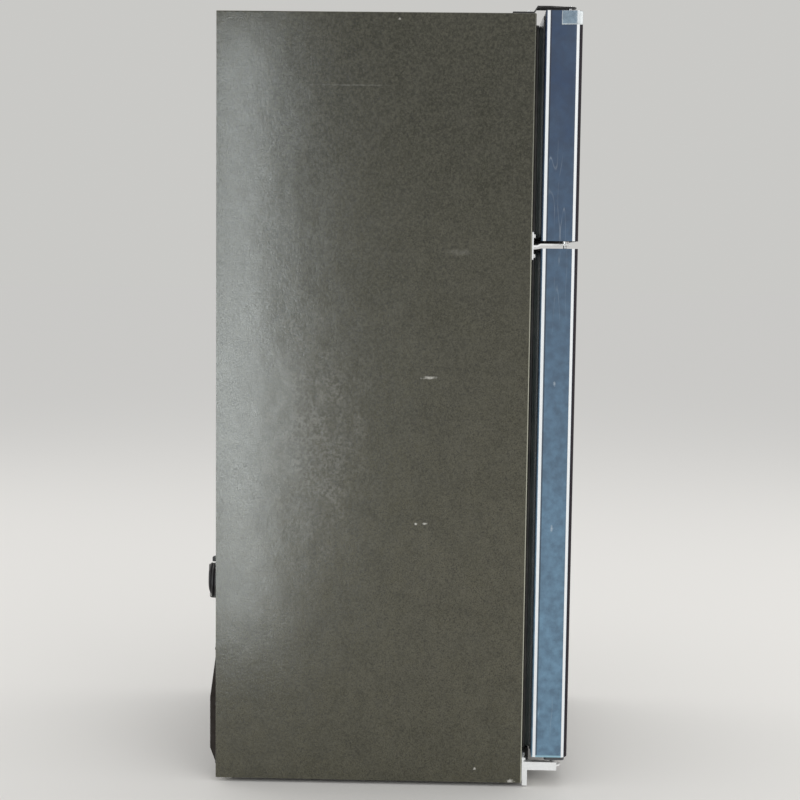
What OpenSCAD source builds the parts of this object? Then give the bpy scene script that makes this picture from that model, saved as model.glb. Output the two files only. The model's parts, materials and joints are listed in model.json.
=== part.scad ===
// Top freezer refrigerator. Millimetres, +Z up, front towards -Y, hinges on the -X side.
// The origin is on the floor, under the middle of the whole appliance.

/* [Cabinet] */
// Width over the side panels
cabinet_w = 730; // [710:5:760]
// Depth of the cabinet without the doors
cabinet_d = 675; // [665:5:700]
// Top of the cabinet above the floor
cabinet_top = 1672; // [1660:1:1690]
// Underside of the side panels above the floor
cabinet_base = 9; // [6:1:12]
// Outside bend radius of the cabinet's sheet steel
bend_r = 3; // [2:0.5:6]
// Thickness of the insulated side walls
wall_t = 49; // [45:1:55]

/* [Compartments] */
// Floor of the fresh-food compartment
fresh_floor = 100; // [96:1:104]
// Ceiling of the fresh-food compartment
fresh_ceiling = 1163; // [1160:1:1164]
// Floor of the freezer compartment
freezer_floor = 1213; // [1212:1:1216]
// Ceiling of the freezer compartment
freezer_ceiling = 1615; // [1600:1:1620]
// Corner radius of the plastic liners
liner_r = 16; // [10:1:22]

/* [Doors] */
// Thickness of each door
door_t = 79; // [74:1:84]
// Gap between the doors and the cabinet, filled by the gasket
door_gap = 20; // [18:1:22]
// Lower edge of the fresh-food door
fresh_door_z = 68; // [67:1:70]
// Upper edge of the fresh-food door
fresh_door_top = 1180; // [1178:1:1181]
// Lower edge of the freezer door
freezer_door_z = 1196; // [1196:1:1197]
// Upper edge of the freezer door
freezer_door_top = 1678; // [1676:1:1680]
// Radius of the doors' front bends
door_r = 18; // [6:1:18]

/* [Hinges] */
// Distance of the hinge axis from the side of the cabinet
pivot_in = 24; // [22:1:28]
// Distance of the hinge axis from the face of the doors
pivot_back = 27; // [24:1:30]
// Radius of the hinge pins
pin_r = 4; // [3.5:0.5:5]

/* [Hidden] */
$fn = 48;

clear = 0.3;              // between pieces that aren't a fit
fit = 0.1;                // radial room of a pin in its bearing
sheet = 1;                // steel sheet of the cabinet
door_sheet = 0.8;         // steel sheet of the doors
plastic = 2;              // moulded liners
tray_wall = 2.5;          // moulded bins and drawers

rear_reach = 32;          // the cord hook stands this far behind the back panel
half_d = (cabinet_d + door_gap + door_t + rear_reach) / 2;
side_x = cabinet_w / 2;
door_x = side_x - 0.4;                       // the doors are a little narrower than the cabinet
back_y = half_d - rear_reach;
face_y = back_y - cabinet_d;
door_in_y = face_y - door_gap;
door_out_y = door_in_y - door_t;
pivot_x = -side_x + pivot_in;
pivot_y = door_out_y + pivot_back;

liner_x = side_x - wall_t;
flange_w = wall_t - 4;                       // front flange of the wrapper, beside the liners
freezer_back = back_y - 80;
fresh_back = back_y - 55;
step_y = [back_y - 229, back_y - 201];       // front of the step over the compressor, low and high
step_z = 318;
room_y = back_y - 175;                       // front wall of the machine compartment
room_top = 288;
deck_z = 40;                                 // underside of the bottom deck
deck_t = 2;
cover_top = 305;

gasket_x = side_x - 25;
rim_x = liner_x - 16;
rim_t = 22;
rim_y = face_y + 34;                         // how far the door liner's rim reaches into the cabinet
liner_plate_y = door_in_y + 2.5;
bin_y = liner_plate_y + 112.5;               // back of the door bins
bin_x = rim_x - rim_t - 0.5;
freezer_bins = [[1252, 92], [1442, 92]];      // lower edge and height of each door bin
fresh_bins = [[140, 120], [430, 105], [720, 105]];
dairy_z = [1010, 1118];
dairy_lid_y = bin_y - 12;
dairy_axis = [dairy_lid_y + 3, dairy_z[1] - 6];
dairy_pin_r = 1.9;
drawer_y = bin_y + 28;                       // front of the crisper drawers
drawer_d = 310;
drawer_x = liner_x - 43;                     // outer side of the drawers: clears the open door
shelf_y = [bin_y + 51, fresh_back - 20];
shelf_x = liner_x - 3;
shelf_z = [560, 760, 960];
ledge_w = 10;
cover_z = 336;                               // top of the crisper cover
drawer_top = cover_z - 20;
runner_z = drawer_top - 8;                   // underside of the drawers' side runners
freezer_shelf_z = 1405;
evaporator_y = freezer_back - 62;

hinge_arm_z = 1186;                          // underside of the middle hinge's arm
low_arm_z = 44;                              // underside of the bottom hinge's arm
hinge_t = 4;
// Screws of the three hinges: X, Y on top of the cabinet; Z in the middle; X, Z at the bottom
top_screws = [[-side_x + 14, face_y + 16], [-side_x + 34, face_y + 16], [-side_x + 24, face_y + 38]];
middle_screws = [1164, 1206];
bottom_screws = [[-side_x + 14, 58], [-side_x + 48, 58], [-side_x + 48, 24]];
foot_x = side_x - 43;
foot_y = face_y + 12;
roller_r = 22;
roller_x = side_x - 29;
roller_y = back_y - 26;

compressor_x = 205;
compressor_y = back_y - 92;
tray_z = 24;
condenser_y = back_y - 85;
fan_x = 40;
fan_z = 150;
evaporator_fan_z = 1535;
knob_y = shelf_y[0] + 98;
knob_z = 1140;

// Cord: it leaves the cover upwards through a gland, and hangs coiled on a hook
cord_d = 6.5;
cord_y = back_y + 7;
gland_z = 290;
coil_x = -242;
coil_z = 425;
coil_r = 33;              // at the middle of the turns
coil_layers = 4;
coil_depth = coil_layers * cord_d;
coil_thick = 2 * cord_d;
// The cord's way up from the gland, and its tail from the coil down to the plug
cord_rise = [for (i = [0 : 8]) [coil_x - coil_r + min(max(i - 3, 0), 3), cord_y, gland_z + 30 + 10.25 * i]];
cord_tail = [
    [-206, 378, 402], [-206, 378, 395], [-206, 379, 389], [-206, 380, 383], [-206, 381, 377],
    [-206, 382, 371]
];
plug_at = cord_tail[5];

// ---- Shared shapes ----

// Box between its low corner and its high corner
module block(low, high) {
    translate(low) cube(high - low);
}

// Outline with coordinates Y, Z, drawn out along X
module along_x(x0, x1) {
    translate([x0, 0, 0]) rotate([90, 0, 90]) linear_extrude(x1 - x0) children();
}

// Outline with coordinates X, Z, drawn out along Y
module along_y(y0, y1) {
    translate([0, y1, 0]) rotate([90, 0, 0]) linear_extrude(y1 - y0) children();
}

// Outline with coordinates X, Y, drawn out along Z
module along_z(z0, z1) {
    translate([0, 0, z0]) linear_extrude(z1 - z0) children();
}

// Rectangle between two corners, with rounded corners
module soft_rect(low, high, r) {
    translate(low + [r, 0]) square([high[0] - low[0] - 2 * r, high[1] - low[1]]);
    translate(low + [0, r]) square([high[0] - low[0], high[1] - low[1] - 2 * r]);
    for (x = [low[0] + r, high[0] - r], y = [low[1] + r, high[1] - r])
        translate([x, y]) circle(r);
}

// Frame between two rounded rectangles
module soft_frame(low, high, r, width) {
    inner_r = max(r - width, 2);
    difference() {
        soft_rect(low, high, r);
        soft_rect(low + [width, width], high - [width, width], inner_r);
    }
}

module rod_x(x0, x1, y, z, r) {
    translate([x0, y, z]) rotate([0, 90, 0]) cylinder(h = x1 - x0, r = r);
}

module rod_y(y0, y1, x, z, r) {
    translate([x, y0, z]) rotate([-90, 0, 0]) cylinder(h = y1 - y0, r = r);
}

module rod_z(z0, z1, x, y, r) {
    translate([x, y, z0]) cylinder(h = z1 - z0, r = r);
}

// The same shape on the -X side and the +X side
module both_sides() {
    children();
    mirror([1, 0, 0]) children();
}

// ---- Cabinet ----

// The cabinet's outer form, made smaller by d, with bends along its front and top edges
module cabinet_form(d, low_z, high_y) {
    r = bend_r - d;
    far = back_y + 60;
    intersection() {
        along_z(low_z, cabinet_top) soft_rect([-side_x + d, face_y + d], [side_x - d, far], r);
        along_x(-side_x, side_x) soft_rect([face_y + d, -60], [far, cabinet_top - d], r);
        along_y(face_y, high_y) soft_rect([-side_x + d, -60], [side_x - d, cabinet_top - d], r);
    }
}

module cabinet_wrapper() {
    color("#5b574f") difference() {
        cabinet_form(0, cabinet_base, back_y);
        cabinet_form(sheet, cabinet_base - 1, back_y + 1);
        block([-side_x + flange_w, face_y - 1, cabinet_base - 1],
              [side_x - flange_w, face_y + 2, freezer_ceiling + 3]);
    }
}

// Flat steel back with two pressed stiffening beads
module back_panel() {
    bead_r = 8;
    bead_h = 2;
    color("#8d9092") difference() {
        union() {
            block([-side_x + sheet + clear, back_y - sheet, room_top + 12],
                  [side_x - sheet - clear, back_y, cabinet_top - sheet - clear]);
            for (x = [-130, 130])
                intersection() {
                    rod_z(520, 1600, x, back_y + bead_h - bead_r, bead_r);
                    block([x - 12, back_y - sheet, 520], [x + 12, back_y + bead_h, 1600]);
                }
        }
        for (x = [-130, 130])
            rod_z(521, 1599, x, back_y + bead_h - bead_r - sheet, bead_r);
    }
}

// Side view of the fresh-food compartment, made larger by e: the step at the back clears the compressor
function fresh_outline(e) = [
    [face_y + sheet, fresh_floor - e], [step_y[0] + e, fresh_floor - e], [step_y[1] + e, step_z - e],
    [fresh_back + e, step_z - e], [fresh_back + e, fresh_ceiling + e], [face_y + sheet, fresh_ceiling + e]
];

module fresh_cavity(e) {
    intersection() {
        along_x(-liner_x - e, liner_x + e) polygon(fresh_outline(e));
        along_y(face_y - 1, back_y)
            soft_rect([-liner_x - e, fresh_floor - e], [liner_x + e, fresh_ceiling + e], liner_r + e);
    }
}

module freezer_cavity(e) {
    along_y(face_y + sheet, freezer_back + e)
        soft_rect([-liner_x - e, freezer_floor - e], [liner_x + e, freezer_ceiling + e], liner_r + e);
}

// Front lip of a liner, behind the cabinet's flange
module liner_lip(z0, z1) {
    along_y(face_y + sheet, face_y + sheet + plastic)
        soft_rect([-liner_x - 8, z0], [liner_x + 8, z1], liner_r);
}

// Ledge moulded on both side walls, with a sloping underside; a shelf lies on top of it
module ledges(z, y0, y1) {
    both_sides() along_y(y0, y1)
        polygon([[-liner_x - 1, z], [-liner_x + ledge_w, z], [-liner_x + ledge_w, z - 4],
                 [-liner_x - 1, z - 14]]);
}

// Guide moulded on both side walls, under the outer runner of each drawer
module drawer_guides() {
    tip = drawer_x - 8;
    both_sides() along_y(drawer_y + 10, step_y[0])
        polygon([[-liner_x - 1, runner_z - clear], [-tip, runner_z - clear], [-tip, runner_z - 4],
                 [-liner_x + 12, runner_z - 12], [-liner_x - 1, runner_z - 40]]);
}

module fresh_liner() {
    color("#eceeee") union() {
        difference() {
            union() {
                fresh_cavity(plastic);
                liner_lip(fresh_floor - plastic, fresh_ceiling + plastic);
            }
            fresh_cavity(0);
            along_y(face_y - 1, face_y + 5)
                soft_rect([-liner_x, fresh_floor], [liner_x, fresh_ceiling], liner_r);
        }
        for (z = shelf_z) ledges(z - 14, shelf_y[0] + 12, fresh_back + 1);
        ledges(cover_z - 14, shelf_y[0] + 12, step_y[0]);
        drawer_guides();
    }
}

module freezer_liner() {
    color("#eceeee") union() {
        difference() {
            union() {
                freezer_cavity(plastic);
                liner_lip(freezer_floor - plastic, freezer_ceiling + 8);
            }
            along_y(face_y - 2, freezer_back)
                soft_rect([-liner_x, freezer_floor], [liner_x, freezer_ceiling], liner_r);
        }
        ledges(freezer_shelf_z - 3, shelf_y[0] + 10, evaporator_y - 4);
    }
}

// Insulation between the wrapper and the liners
module cabinet_foam() {
    color("#e6d9a8") difference() {
        cabinet_form(sheet + 0.3, deck_z + deck_t + clear, back_y - sheet - clear);
        block([-side_x, face_y - 1, 0], [side_x, face_y + sheet + plastic + clear, cabinet_top]);
        fresh_cavity(plastic + clear);
        freezer_cavity(plastic + clear);
        block([-side_x, room_y - deck_t - clear, 0], [side_x, back_y + 1, room_top + clear]);
        for (z = [[fresh_floor - 46, fresh_floor - 1], [fresh_ceiling + 1, freezer_floor - 1]])
            block([-liner_x - 5, face_y, z[0]], [liner_x + 5, face_y + 20, z[1]]);
        for (side = [-1, 1]) rod_z(deck_z, deck_z + 17, side * foot_x, foot_y, 6);
    }
}

// Channel between the compartments, behind the gap between the doors
module mullion_rail() {
    z0 = fresh_ceiling + plastic + clear;
    z1 = freezer_floor - plastic - clear;
    x = side_x - flange_w - clear;
    color("#5b574f") difference() {
        along_x(-x, x) soft_rect([face_y, z0], [face_y + 40, z1], bend_r);
        along_x(-x - 1, x + 1) soft_rect([face_y + sheet, z0 + sheet], [face_y + 50, z1 - sheet], 2);
        block([-x - 1, face_y + 18, z0 - 1], [x + 1, face_y + 50, z1 + 1]);
    }
}

// Folded bottom deck with its front rail, which the feet are threaded into, and the rear roller channels
module base_frame() {
    rail_top = fresh_floor - plastic - clear;
    x = side_x - flange_w - clear;
    deck_x = side_x - sheet - clear;
    deck_back = back_y - sheet - clear;
    color("#84878a") difference() {
        union() {
            along_x(-deck_x, deck_x) polygon([
                [face_y + 4, deck_z], [room_y, deck_z], [room_y, room_top - deck_t],
                [deck_back, room_top - deck_t], [deck_back, room_top], [room_y - deck_t, room_top],
                [room_y - deck_t, deck_z + deck_t], [face_y + 4, deck_z + deck_t]]);
            difference() {
                block([-x, face_y, deck_z], [x, face_y + 18, rail_top]);
                block([-x - 1, face_y + deck_t, deck_z + deck_t], [x + 1, face_y + 19, rail_top - deck_t]);
            }
            both_sides() difference() {
                block([-roller_x - 15, room_y - 1, 14], [-roller_x + 15, back_y - 4, 50]);
                block([-roller_x - 12, room_y, 13], [-roller_x + 12, back_y - 3, 47]);
            }
        }
        for (side = [-1, 1])
            rod_x(side * roller_x - 20, side * roller_x + 20, roller_y, roller_r, pin_r + fit);
        for (side = [-1, 1]) rod_z(deck_z - 1, deck_z + deck_t + 1, side * foot_x, foot_y, 5 + fit);
    }
}

// Steel tray that closes the machine compartment below, with turned-up sides and studs for the compressor
module compressor_tray() {
    x = roller_x - 15;
    color("#6e7173") {
        difference() {
            block([-x, room_y + 2, tray_z - 2], [x, back_y - 6, tray_z + 16]);
            block([-x + 2, room_y + 4, tray_z], [x - 2, back_y - 8, tray_z + 20]);
            for (i = [0 : 9]) translate([-250 + 22 * i, room_y + 24, tray_z - 3]) cube([6, 90, 6]);
        }
        compressor_mounts() cylinder(h = 34, r = 4);
    }
}

// The four studs under the compressor
module compressor_mounts() {
    for (x = [-75, 75], y = [-52, 52])
        translate([compressor_x + x, compressor_y + y, tray_z - 1]) children();
}

// Form of the rear cover, made smaller by e: it bulges behind the back panel and tapers at its ends
module cover_form(e) {
    reach = 17 - e;
    cover_x = side_x - 22 - e;
    intersection() {
        along_x(-cover_x, cover_x) polygon([
            [back_y - e, 28 + e], [back_y + reach, 66 + e], [back_y + reach, 180],
            [back_y - e, cover_top - 4 - e]]);
        along_z(0, cover_top) polygon([
            [-cover_x, back_y - e], [-cover_x + 10, back_y + reach], [cover_x - 10, back_y + reach],
            [cover_x, back_y - e]]);
    }
}

// Pressed rear cover with rows of air slots and a boss for the cord
module machine_cover() {
    color("#6b645c") difference() {
        union() {
            cover_form(0);
            block([-side_x + 8, back_y, 24], [side_x - 8, back_y + 1.2, cover_top]);
            block([coil_x - coil_r - 9, back_y, gland_z - 34], [coil_x - coil_r + 9, back_y + 12, gland_z]);
        }
        difference() {
            cover_form(1.2);
            block([coil_x - coil_r - 10, back_y - 6, gland_z - 35], [coil_x - coil_r + 10, back_y + 13, gland_z]);
        }
        rod_z(gland_z - 30, gland_z + 1, coil_x - coil_r, cord_y, cord_d / 2);
        for (column = [-2 : 2], row = [0 : 8])
            translate([column * 118 - 45, back_y + 6, 74 + row * 8]) cube([90, 12, 3.5]);
        for (x = [-side_x + 14, side_x - 14], z = [40, 170, 296]) rod_y(back_y - 2, back_y + 3, x, z, 2);
    }
}

// Toe grille under the fresh-food door: a box that is open below and behind
module base_grille() {
    x = side_x - 67;
    low = [face_y - 18, 12];
    high = [face_y, 66];
    t = 2.5;
    slots = 21;
    pitch = (2 * x - 20) / slots;
    color("#33353a") difference() {
        along_x(-x, x) soft_rect(low, high, 2);
        block([-x + t, low[0] + t, low[1] - 1], [x - t, high[0] + 1, high[1] - t]);
        for (i = [0 : slots - 1])
            translate([-x + 14 + pitch * i, low[0] - 1, low[1] + 8]) cube([pitch - 8, t + 2, high[1] - low[1] - 18]);
    }
}

// ---- Hinges ----

// Rounded nose of a hinge arm around the pin, and its straight root
module arm_outline(root_y, width, nose_r) {
    translate([pivot_x, pivot_y]) circle(nose_r);
    translate([pivot_x - nose_r, pivot_y]) square([2 * nose_r, 12]);
    polygon([[pivot_x - nose_r, pivot_y + 12], [pivot_x + nose_r, pivot_y + 12],
             [-side_x + 2 + width, pivot_y + 40], [-side_x + 2 + width, root_y],
             [-side_x + 2, root_y], [-side_x + 2, pivot_y + 40]]);
}

// Steel strip bent in a step: its side view is drawn out, and its plan is cut from that
module stepped_arm(y0, y1, step, z_low, z_high, t, width, nose_r) {
    intersection() {
        along_x(-side_x, -side_x + 60) polygon([
            [y0, z_high], [step - 4, z_high], [step + 4, z_low], [y1, z_low],
            [y1, z_low + t], [step + 4, z_low + t], [step - 4, z_high + t], [y0, z_high + t]]);
        along_z(0, cabinet_top + 40) arm_outline(y1, width, nose_r);
    }
}

module top_hinge_plate() {
    t = 3;
    color("#1d1e20") difference() {
        stepped_arm(pivot_y - 14, face_y + 50, face_y + 2, cabinet_top, cabinet_top + 12.3, t, 42, 13);
        rod_z(cabinet_top, cabinet_top + 20, pivot_x, pivot_y, pin_r);
        for (at = top_screws) rod_z(cabinet_top - 1, cabinet_top + 5, at[0], at[1], 2.6);
    }
}

module middle_hinge_bracket() {
    color("#b9bcbf") difference() {
        union() {
            along_y(face_y - 3, face_y) soft_rect([-side_x + 1, 1155], [-gasket_x - 2, 1215], 4);
            intersection() {
                stepped_arm(pivot_y - 12, face_y, face_y - 14, hinge_arm_z - 4, hinge_arm_z, hinge_t, 22, 12);
                block([-side_x, pivot_y - 20, 0], [0, face_y - 2, 1300]);
            }
        }
        rod_z(1170, 1210, pivot_x, pivot_y, pin_r);
        for (z = middle_screws) rod_y(face_y - 10, face_y + 1, -side_x + 12, z, 2.6);
    }
}

// L bracket: the leg is screwed to the cabinet's face and the arm carries the door. Flanges stiffen both.
module bottom_hinge_bracket() {
    color("#c2c4c6") difference() {
        union() {
            along_y(face_y - hinge_t, face_y) soft_rect([-side_x + 1, 12], [-side_x + 62, 66], 5);
            intersection() {
                along_z(low_arm_z, low_arm_z + hinge_t) arm_outline(face_y, 40, 13);
                block([-side_x, -half_d, 0], [0, face_y - 1, 100]);
            }
            block([-side_x + 2, face_y - 12, 3], [-side_x + 5, face_y - 1, low_arm_z + 1]);
            block([-side_x + 2, pivot_y - 4, low_arm_z - 6], [-side_x + 4.5, face_y - 1, low_arm_z + 12]);
        }
        rod_z(30, 60, pivot_x, pivot_y, pin_r);
        for (at = bottom_screws) rod_y(face_y - 10, face_y + 1, at[0], at[1], 2.6);
    }
}

// Three pins: the freezer door hangs between the top and middle pins, the fresh-food door between
// the middle and bottom pins, and a collar carries each door
module hinge_pins() {
    top = cabinet_top + 15.3;
    color("#c9cbcd") {
        rod_z(freezer_door_top - 15, top, pivot_x, pivot_y, pin_r);
        rod_z(top, top + 1.7, pivot_x, pivot_y, pin_r + 3);
        rod_z(fresh_door_top - 14, freezer_door_z + 14, pivot_x, pivot_y, pin_r);
        rod_z(hinge_arm_z + hinge_t, freezer_door_z - clear, pivot_x, pivot_y, pin_r + 4);
        rod_z(low_arm_z - 3, fresh_door_z + 12, pivot_x, pivot_y, pin_r);
        rod_z(low_arm_z + hinge_t, fresh_door_z - 8 - clear, pivot_x, pivot_y, pin_r + 5);
    }
}

// Hexagon washer-head screw, pointing along -Z from the surface at the origin
module hinge_screw() {
    cylinder(h = 1.2, r = 5.4);
    cylinder(h = 4.4, r = 4.2, $fn = 6);
    translate([0, 0, -2.8]) cylinder(h = 2.8, r = 2.6);
}

module hinge_screws() {
    color("#a5a7a9") {
        for (at = top_screws) translate([at[0], at[1], cabinet_top + 3]) hinge_screw();
        for (z = middle_screws) translate([-side_x + 12, face_y - 3, z]) rotate([90, 0, 0]) hinge_screw();
        for (at = bottom_screws) translate([at[0], face_y - hinge_t, at[1]]) rotate([90, 0, 0]) hinge_screw();
    }
}

// ---- Doors ----

// Plan of a door, made smaller by d: wide bends at the front, tight bends at the back
module door_plan(d) {
    front_r = door_r - d;
    back_r = 4 - d;
    x = door_x - d;
    y0 = door_out_y + d;
    y1 = door_in_y - d;
    translate([-x, y0 + front_r]) square([2 * x, y1 - y0 - front_r - back_r]);
    translate([-x + front_r, y0]) square([2 * (x - front_r), door_t / 2]);
    translate([-x + back_r, y0 + door_t / 2]) square([2 * (x - back_r), y1 - y0 - door_t / 2]);
    for (side = [-1, 1]) {
        translate([side * (x - front_r), y0 + front_r]) circle(front_r);
        translate([side * (x - back_r), y1 - back_r]) circle(back_r);
    }
}

module door_skin(z0, z1) {
    along_z(z0, z1) difference() {
        door_plan(0);
        door_plan(door_sheet);
        translate([-gasket_x + 7, door_in_y - 3]) square([2 * gasket_x - 14, 5]);
    }
}

// End cap of a door, with a bearing for the hinge pin and, on a handle end, a pocket for the fingers.
// It is drawn with its outer face at z = 0 and its inside upwards.
module end_cap(handle) {
    depth = handle ? 34 : 18;
    difference() {
        along_z(0, depth) door_plan(door_sheet + 0.15);
        rod_z(-1, 16, pivot_x, pivot_y, pin_r + fit);
        if (handle)
            along_z(-1, 26) soft_rect([60, door_out_y + 9], [side_x - 22, door_out_y + 47], 12);
    }
}

module top_cap(z, handle) {
    translate([0, 0, z]) mirror([0, 0, 1]) end_cap(handle);
}

module bottom_cap(z, handle) {
    translate([0, 0, z]) end_cap(handle);
}

module freezer_door_end_caps() {
    color("#55585c") {
        bottom_cap(freezer_door_z, true);
        top_cap(freezer_door_top, false);
    }
}

// The lower cap stands 8 mm below the steel, along the front edge
module fresh_door_end_caps() {
    color("#55585c") {
        difference() {
            union() {
                bottom_cap(fresh_door_z, false);
                along_z(fresh_door_z - 8, fresh_door_z + 1)
                    soft_rect([-side_x + 6, door_out_y + 6], [side_x - 6, door_out_y + 50], 8);
            }
            rod_z(fresh_door_z - 9, fresh_door_z + 16, pivot_x, pivot_y, pin_r + fit);
        }
        top_cap(fresh_door_top, true);
    }
}

module door_foam(z0, z1) {
    along_z(z0, z1) difference() {
        door_plan(door_sheet + 0.4);
        translate([-side_x, door_in_y - 2]) square([cabinet_w, 5]);
    }
}

// Inner panel of a door: a plate, and a raised rim that the bins hang between
module door_liner(z0, z1, rim_z0, rim_z1) {
    union() {
        along_y(door_in_y, liner_plate_y) soft_rect([-gasket_x + 2, z0 + 8], [gasket_x - 2, z1 - 8], 12);
        along_y(liner_plate_y - 1, rim_y - 8)
            soft_frame([-rim_x, rim_z0], [rim_x, rim_z1], 24, rim_t);
        along_y(rim_y - 8, rim_y)
            soft_frame([-rim_x + 5, rim_z0 + 5], [rim_x - 5, rim_z1 - 5], 20, rim_t - 10);
    }
}

// Magnetic gasket: a foot on the door, a narrow bellows and a flat magnet bar against the cabinet
module door_gasket(z0, z1) {
    low = [-gasket_x, z0];
    high = [gasket_x, z1];
    union() {
        along_y(liner_plate_y, liner_plate_y + 3) soft_frame(low + [2, 2], high - [2, 2], 6, 12);
        along_y(liner_plate_y + 3, face_y - 6) soft_frame(low + [5, 5], high - [5, 5], 5, 6);
        along_y(face_y - 6, face_y - 0.5) soft_frame(low, high, 8, 16);
    }
}

// Door bin: an open tray with a rounded front and a raised rail along it
module door_bin(z, h) {
    low = [-bin_x, liner_plate_y + clear];
    high = [bin_x, bin_y];
    t = [tray_wall, tray_wall];
    difference() {
        along_z(z, z + h) soft_rect(low, high, 20);
        along_z(z + tray_wall, z + h + 1) soft_rect(low + t, high - t, 17.5);
        along_y(bin_y - 5, bin_y + 1)
            soft_rect([-bin_x + 50, z + h * 0.62], [bin_x - 50, z + h * 0.82], 6);
    }
}

module freezer_door_skin() { color("#8fa0b3") door_skin(freezer_door_z, freezer_door_top); }
module fresh_door_skin() { color("#8fa0b3") door_skin(fresh_door_z, fresh_door_top); }

module freezer_door_foam() {
    color("#e6d9a8") door_foam(freezer_door_z + 34 + clear, freezer_door_top - 18 - clear);
}
module fresh_door_foam() {
    color("#e6d9a8") door_foam(fresh_door_z + 18 + clear, fresh_door_top - 34 - clear);
}

module freezer_door_liner() {
    color("#eceeee") door_liner(freezer_door_z, freezer_door_top, freezer_floor + 9, freezer_ceiling - 9);
}
module fresh_door_liner() {
    color("#eceeee") door_liner(fresh_door_z, fresh_door_top, fresh_floor + 9, fresh_ceiling - 11);
}

module freezer_door_gasket() { color("#2b302f") door_gasket(freezer_door_z + 2, 1653); }
module fresh_door_gasket() { color("#2b302f") door_gasket(fresh_door_z + 10, fresh_door_top - 2); }

module freezer_door_bins() { color("#dfe7ea") for (bin = freezer_bins) door_bin(bin[0], bin[1]); }
module fresh_door_bins() { color("#dfe7ea") for (bin = fresh_bins) door_bin(bin[0], bin[1]); }

// Dairy box at the top of the fresh-food door, open at the front, with a lid that flips up
module dairy_box() {
    t = tray_wall;
    color("#dfe7ea") difference() {
        block([-bin_x, liner_plate_y + clear, dairy_z[0]], [bin_x, dairy_lid_y, dairy_z[1]]);
        block([-bin_x + t, liner_plate_y + t, dairy_z[0] + t], [bin_x - t, dairy_lid_y + 1, dairy_z[1] - t]);
        block([-bin_x - 1, dairy_lid_y - 12, dairy_z[1] - 14], [bin_x + 1, dairy_lid_y + 1, dairy_z[1] + 1]);
    }
    color("#dfe7ea") both_sides() {
        block([-bin_x, dairy_lid_y - 14, dairy_z[1] - 16], [-bin_x + 4, dairy_lid_y + 9, dairy_z[1]]);
        rod_x(-bin_x + 3, -bin_x + 9, dairy_axis[0], dairy_axis[1], dairy_pin_r);
    }
}

// Clear flap with a curved top along its hinge line and a lip to lift it by
module dairy_lid() {
    x = bin_x - 4.5;
    y = dairy_lid_y;
    color("#c9dbe2") difference() {
        union() {
            rod_x(-x, x, dairy_axis[0], dairy_axis[1], 5);
            block([-x, y + 3, dairy_z[0] + 4], [x, y + 6, dairy_axis[1]]);
            along_x(-60, 60) soft_rect([y + 3, dairy_z[0]], [y + 12, dairy_z[0] + 7], 2);
        }
        both_sides() rod_x(-x - 1, -x + 6, dairy_axis[0], dairy_axis[1], dairy_pin_r + fit);
    }
}

// ---- Fittings inside ----

// Shelf frame with a rounded front nose and a rebate that the glass lies in
module shelf_frame(z, y0, y1) {
    difference() {
        union() {
            block([-shelf_x, y0 + 7, z - 14], [shelf_x, y1, z]);
            rod_x(-shelf_x, shelf_x, y0 + 7, z - 7, 7);
        }
        block([-shelf_x + 12, y0 + 16, z - 4.2], [shelf_x - 12, y1 - 12, z + 1]);
        block([-shelf_x + 22, y0 + 26, z - 15], [shelf_x - 22, y1 - 22, z + 1]);
    }
}

module shelf_glass(z, y0, y1) {
    block([-shelf_x + 12.5, y0 + 16.5, z - 4.2], [shelf_x - 12.5, y1 - 12.5, z - 0.2]);
}

module shelf_frames() { color("#f0f2f2") for (z = shelf_z) shelf_frame(z, shelf_y[0], shelf_y[1]); }
module shelf_glasses() { color("#bcd6d6") for (z = shelf_z) shelf_glass(z, shelf_y[0], shelf_y[1]); }

// Cover over the crispers, with a middle post between them and slots for the humidity sliders
module crisper_cover_frame() {
    y0 = drawer_y + 8;
    color("#f0f2f2") difference() {
        union() {
            shelf_frame(cover_z, y0, fresh_back - 20);
            block([-5, y0 + 16, fresh_floor + 0.5], [5, y0 + 60, cover_z - 13]);
        }
        for (x = [-160, 160]) block([x - 34, y0 - 1, cover_z - 9], [x + 34, y0 + 8, cover_z - 5]);
    }
}

module crisper_cover_glass() {
    color("#bcd6d6") shelf_glass(cover_z, drawer_y + 8, fresh_back - 20);
}

// Slider that opens and closes a vent over its drawer
module humidity_slider(x) {
    y0 = drawer_y + 8;
    color("#9fb0b8") union() {
        block([x - 6, y0 + 0.5, cover_z - 8.6], [x + 6, y0 + 7.5, cover_z - 5.4]);
        block([x - 8, y0 - 5, cover_z - 12], [x + 8, y0 - 0.6, cover_z - 2]);
        block([x - 3, y0 - 1, cover_z - 8.6], [x + 3, y0 + 1, cover_z - 5.4]);
    }
}
module humidity_slider_left() { humidity_slider(-180); }
module humidity_slider_right() { humidity_slider(140); }

// Crisper drawer: rounded tray, fascia in front with a cut-out to pull it by, and side runners
module crisper(x0, x1) {
    z0 = fresh_floor + 1;
    t = [tray_wall, tray_wall];
    low = [x0 + 10, drawer_y + 4];
    high = [x1 - 10, drawer_y + drawer_d];
    difference() {
        union() {
            along_z(z0, drawer_top) soft_rect(low, high, 18);
            along_y(drawer_y, drawer_y + 6) soft_rect([x0, z0], [x1, drawer_top], 6);
            for (x = [x0 + 1, x1 - 11])
                block([x, drawer_y + 20, runner_z], [x + 10, drawer_y + drawer_d - 20, runner_z + 4]);
        }
        along_z(z0 + tray_wall, drawer_top + 1) soft_rect(low + t, high - t, 15.5);
        along_y(drawer_y - 1, drawer_y + 8)
            soft_rect([(x0 + x1) / 2 - 62, drawer_top - 30], [(x0 + x1) / 2 + 62, drawer_top + 20], 10);
    }
}
module crisper_left() { color("#cfdde2") crisper(-drawer_x, -8); }
module crisper_right() { color("#cfdde2") crisper(8, drawer_x); }

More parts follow.
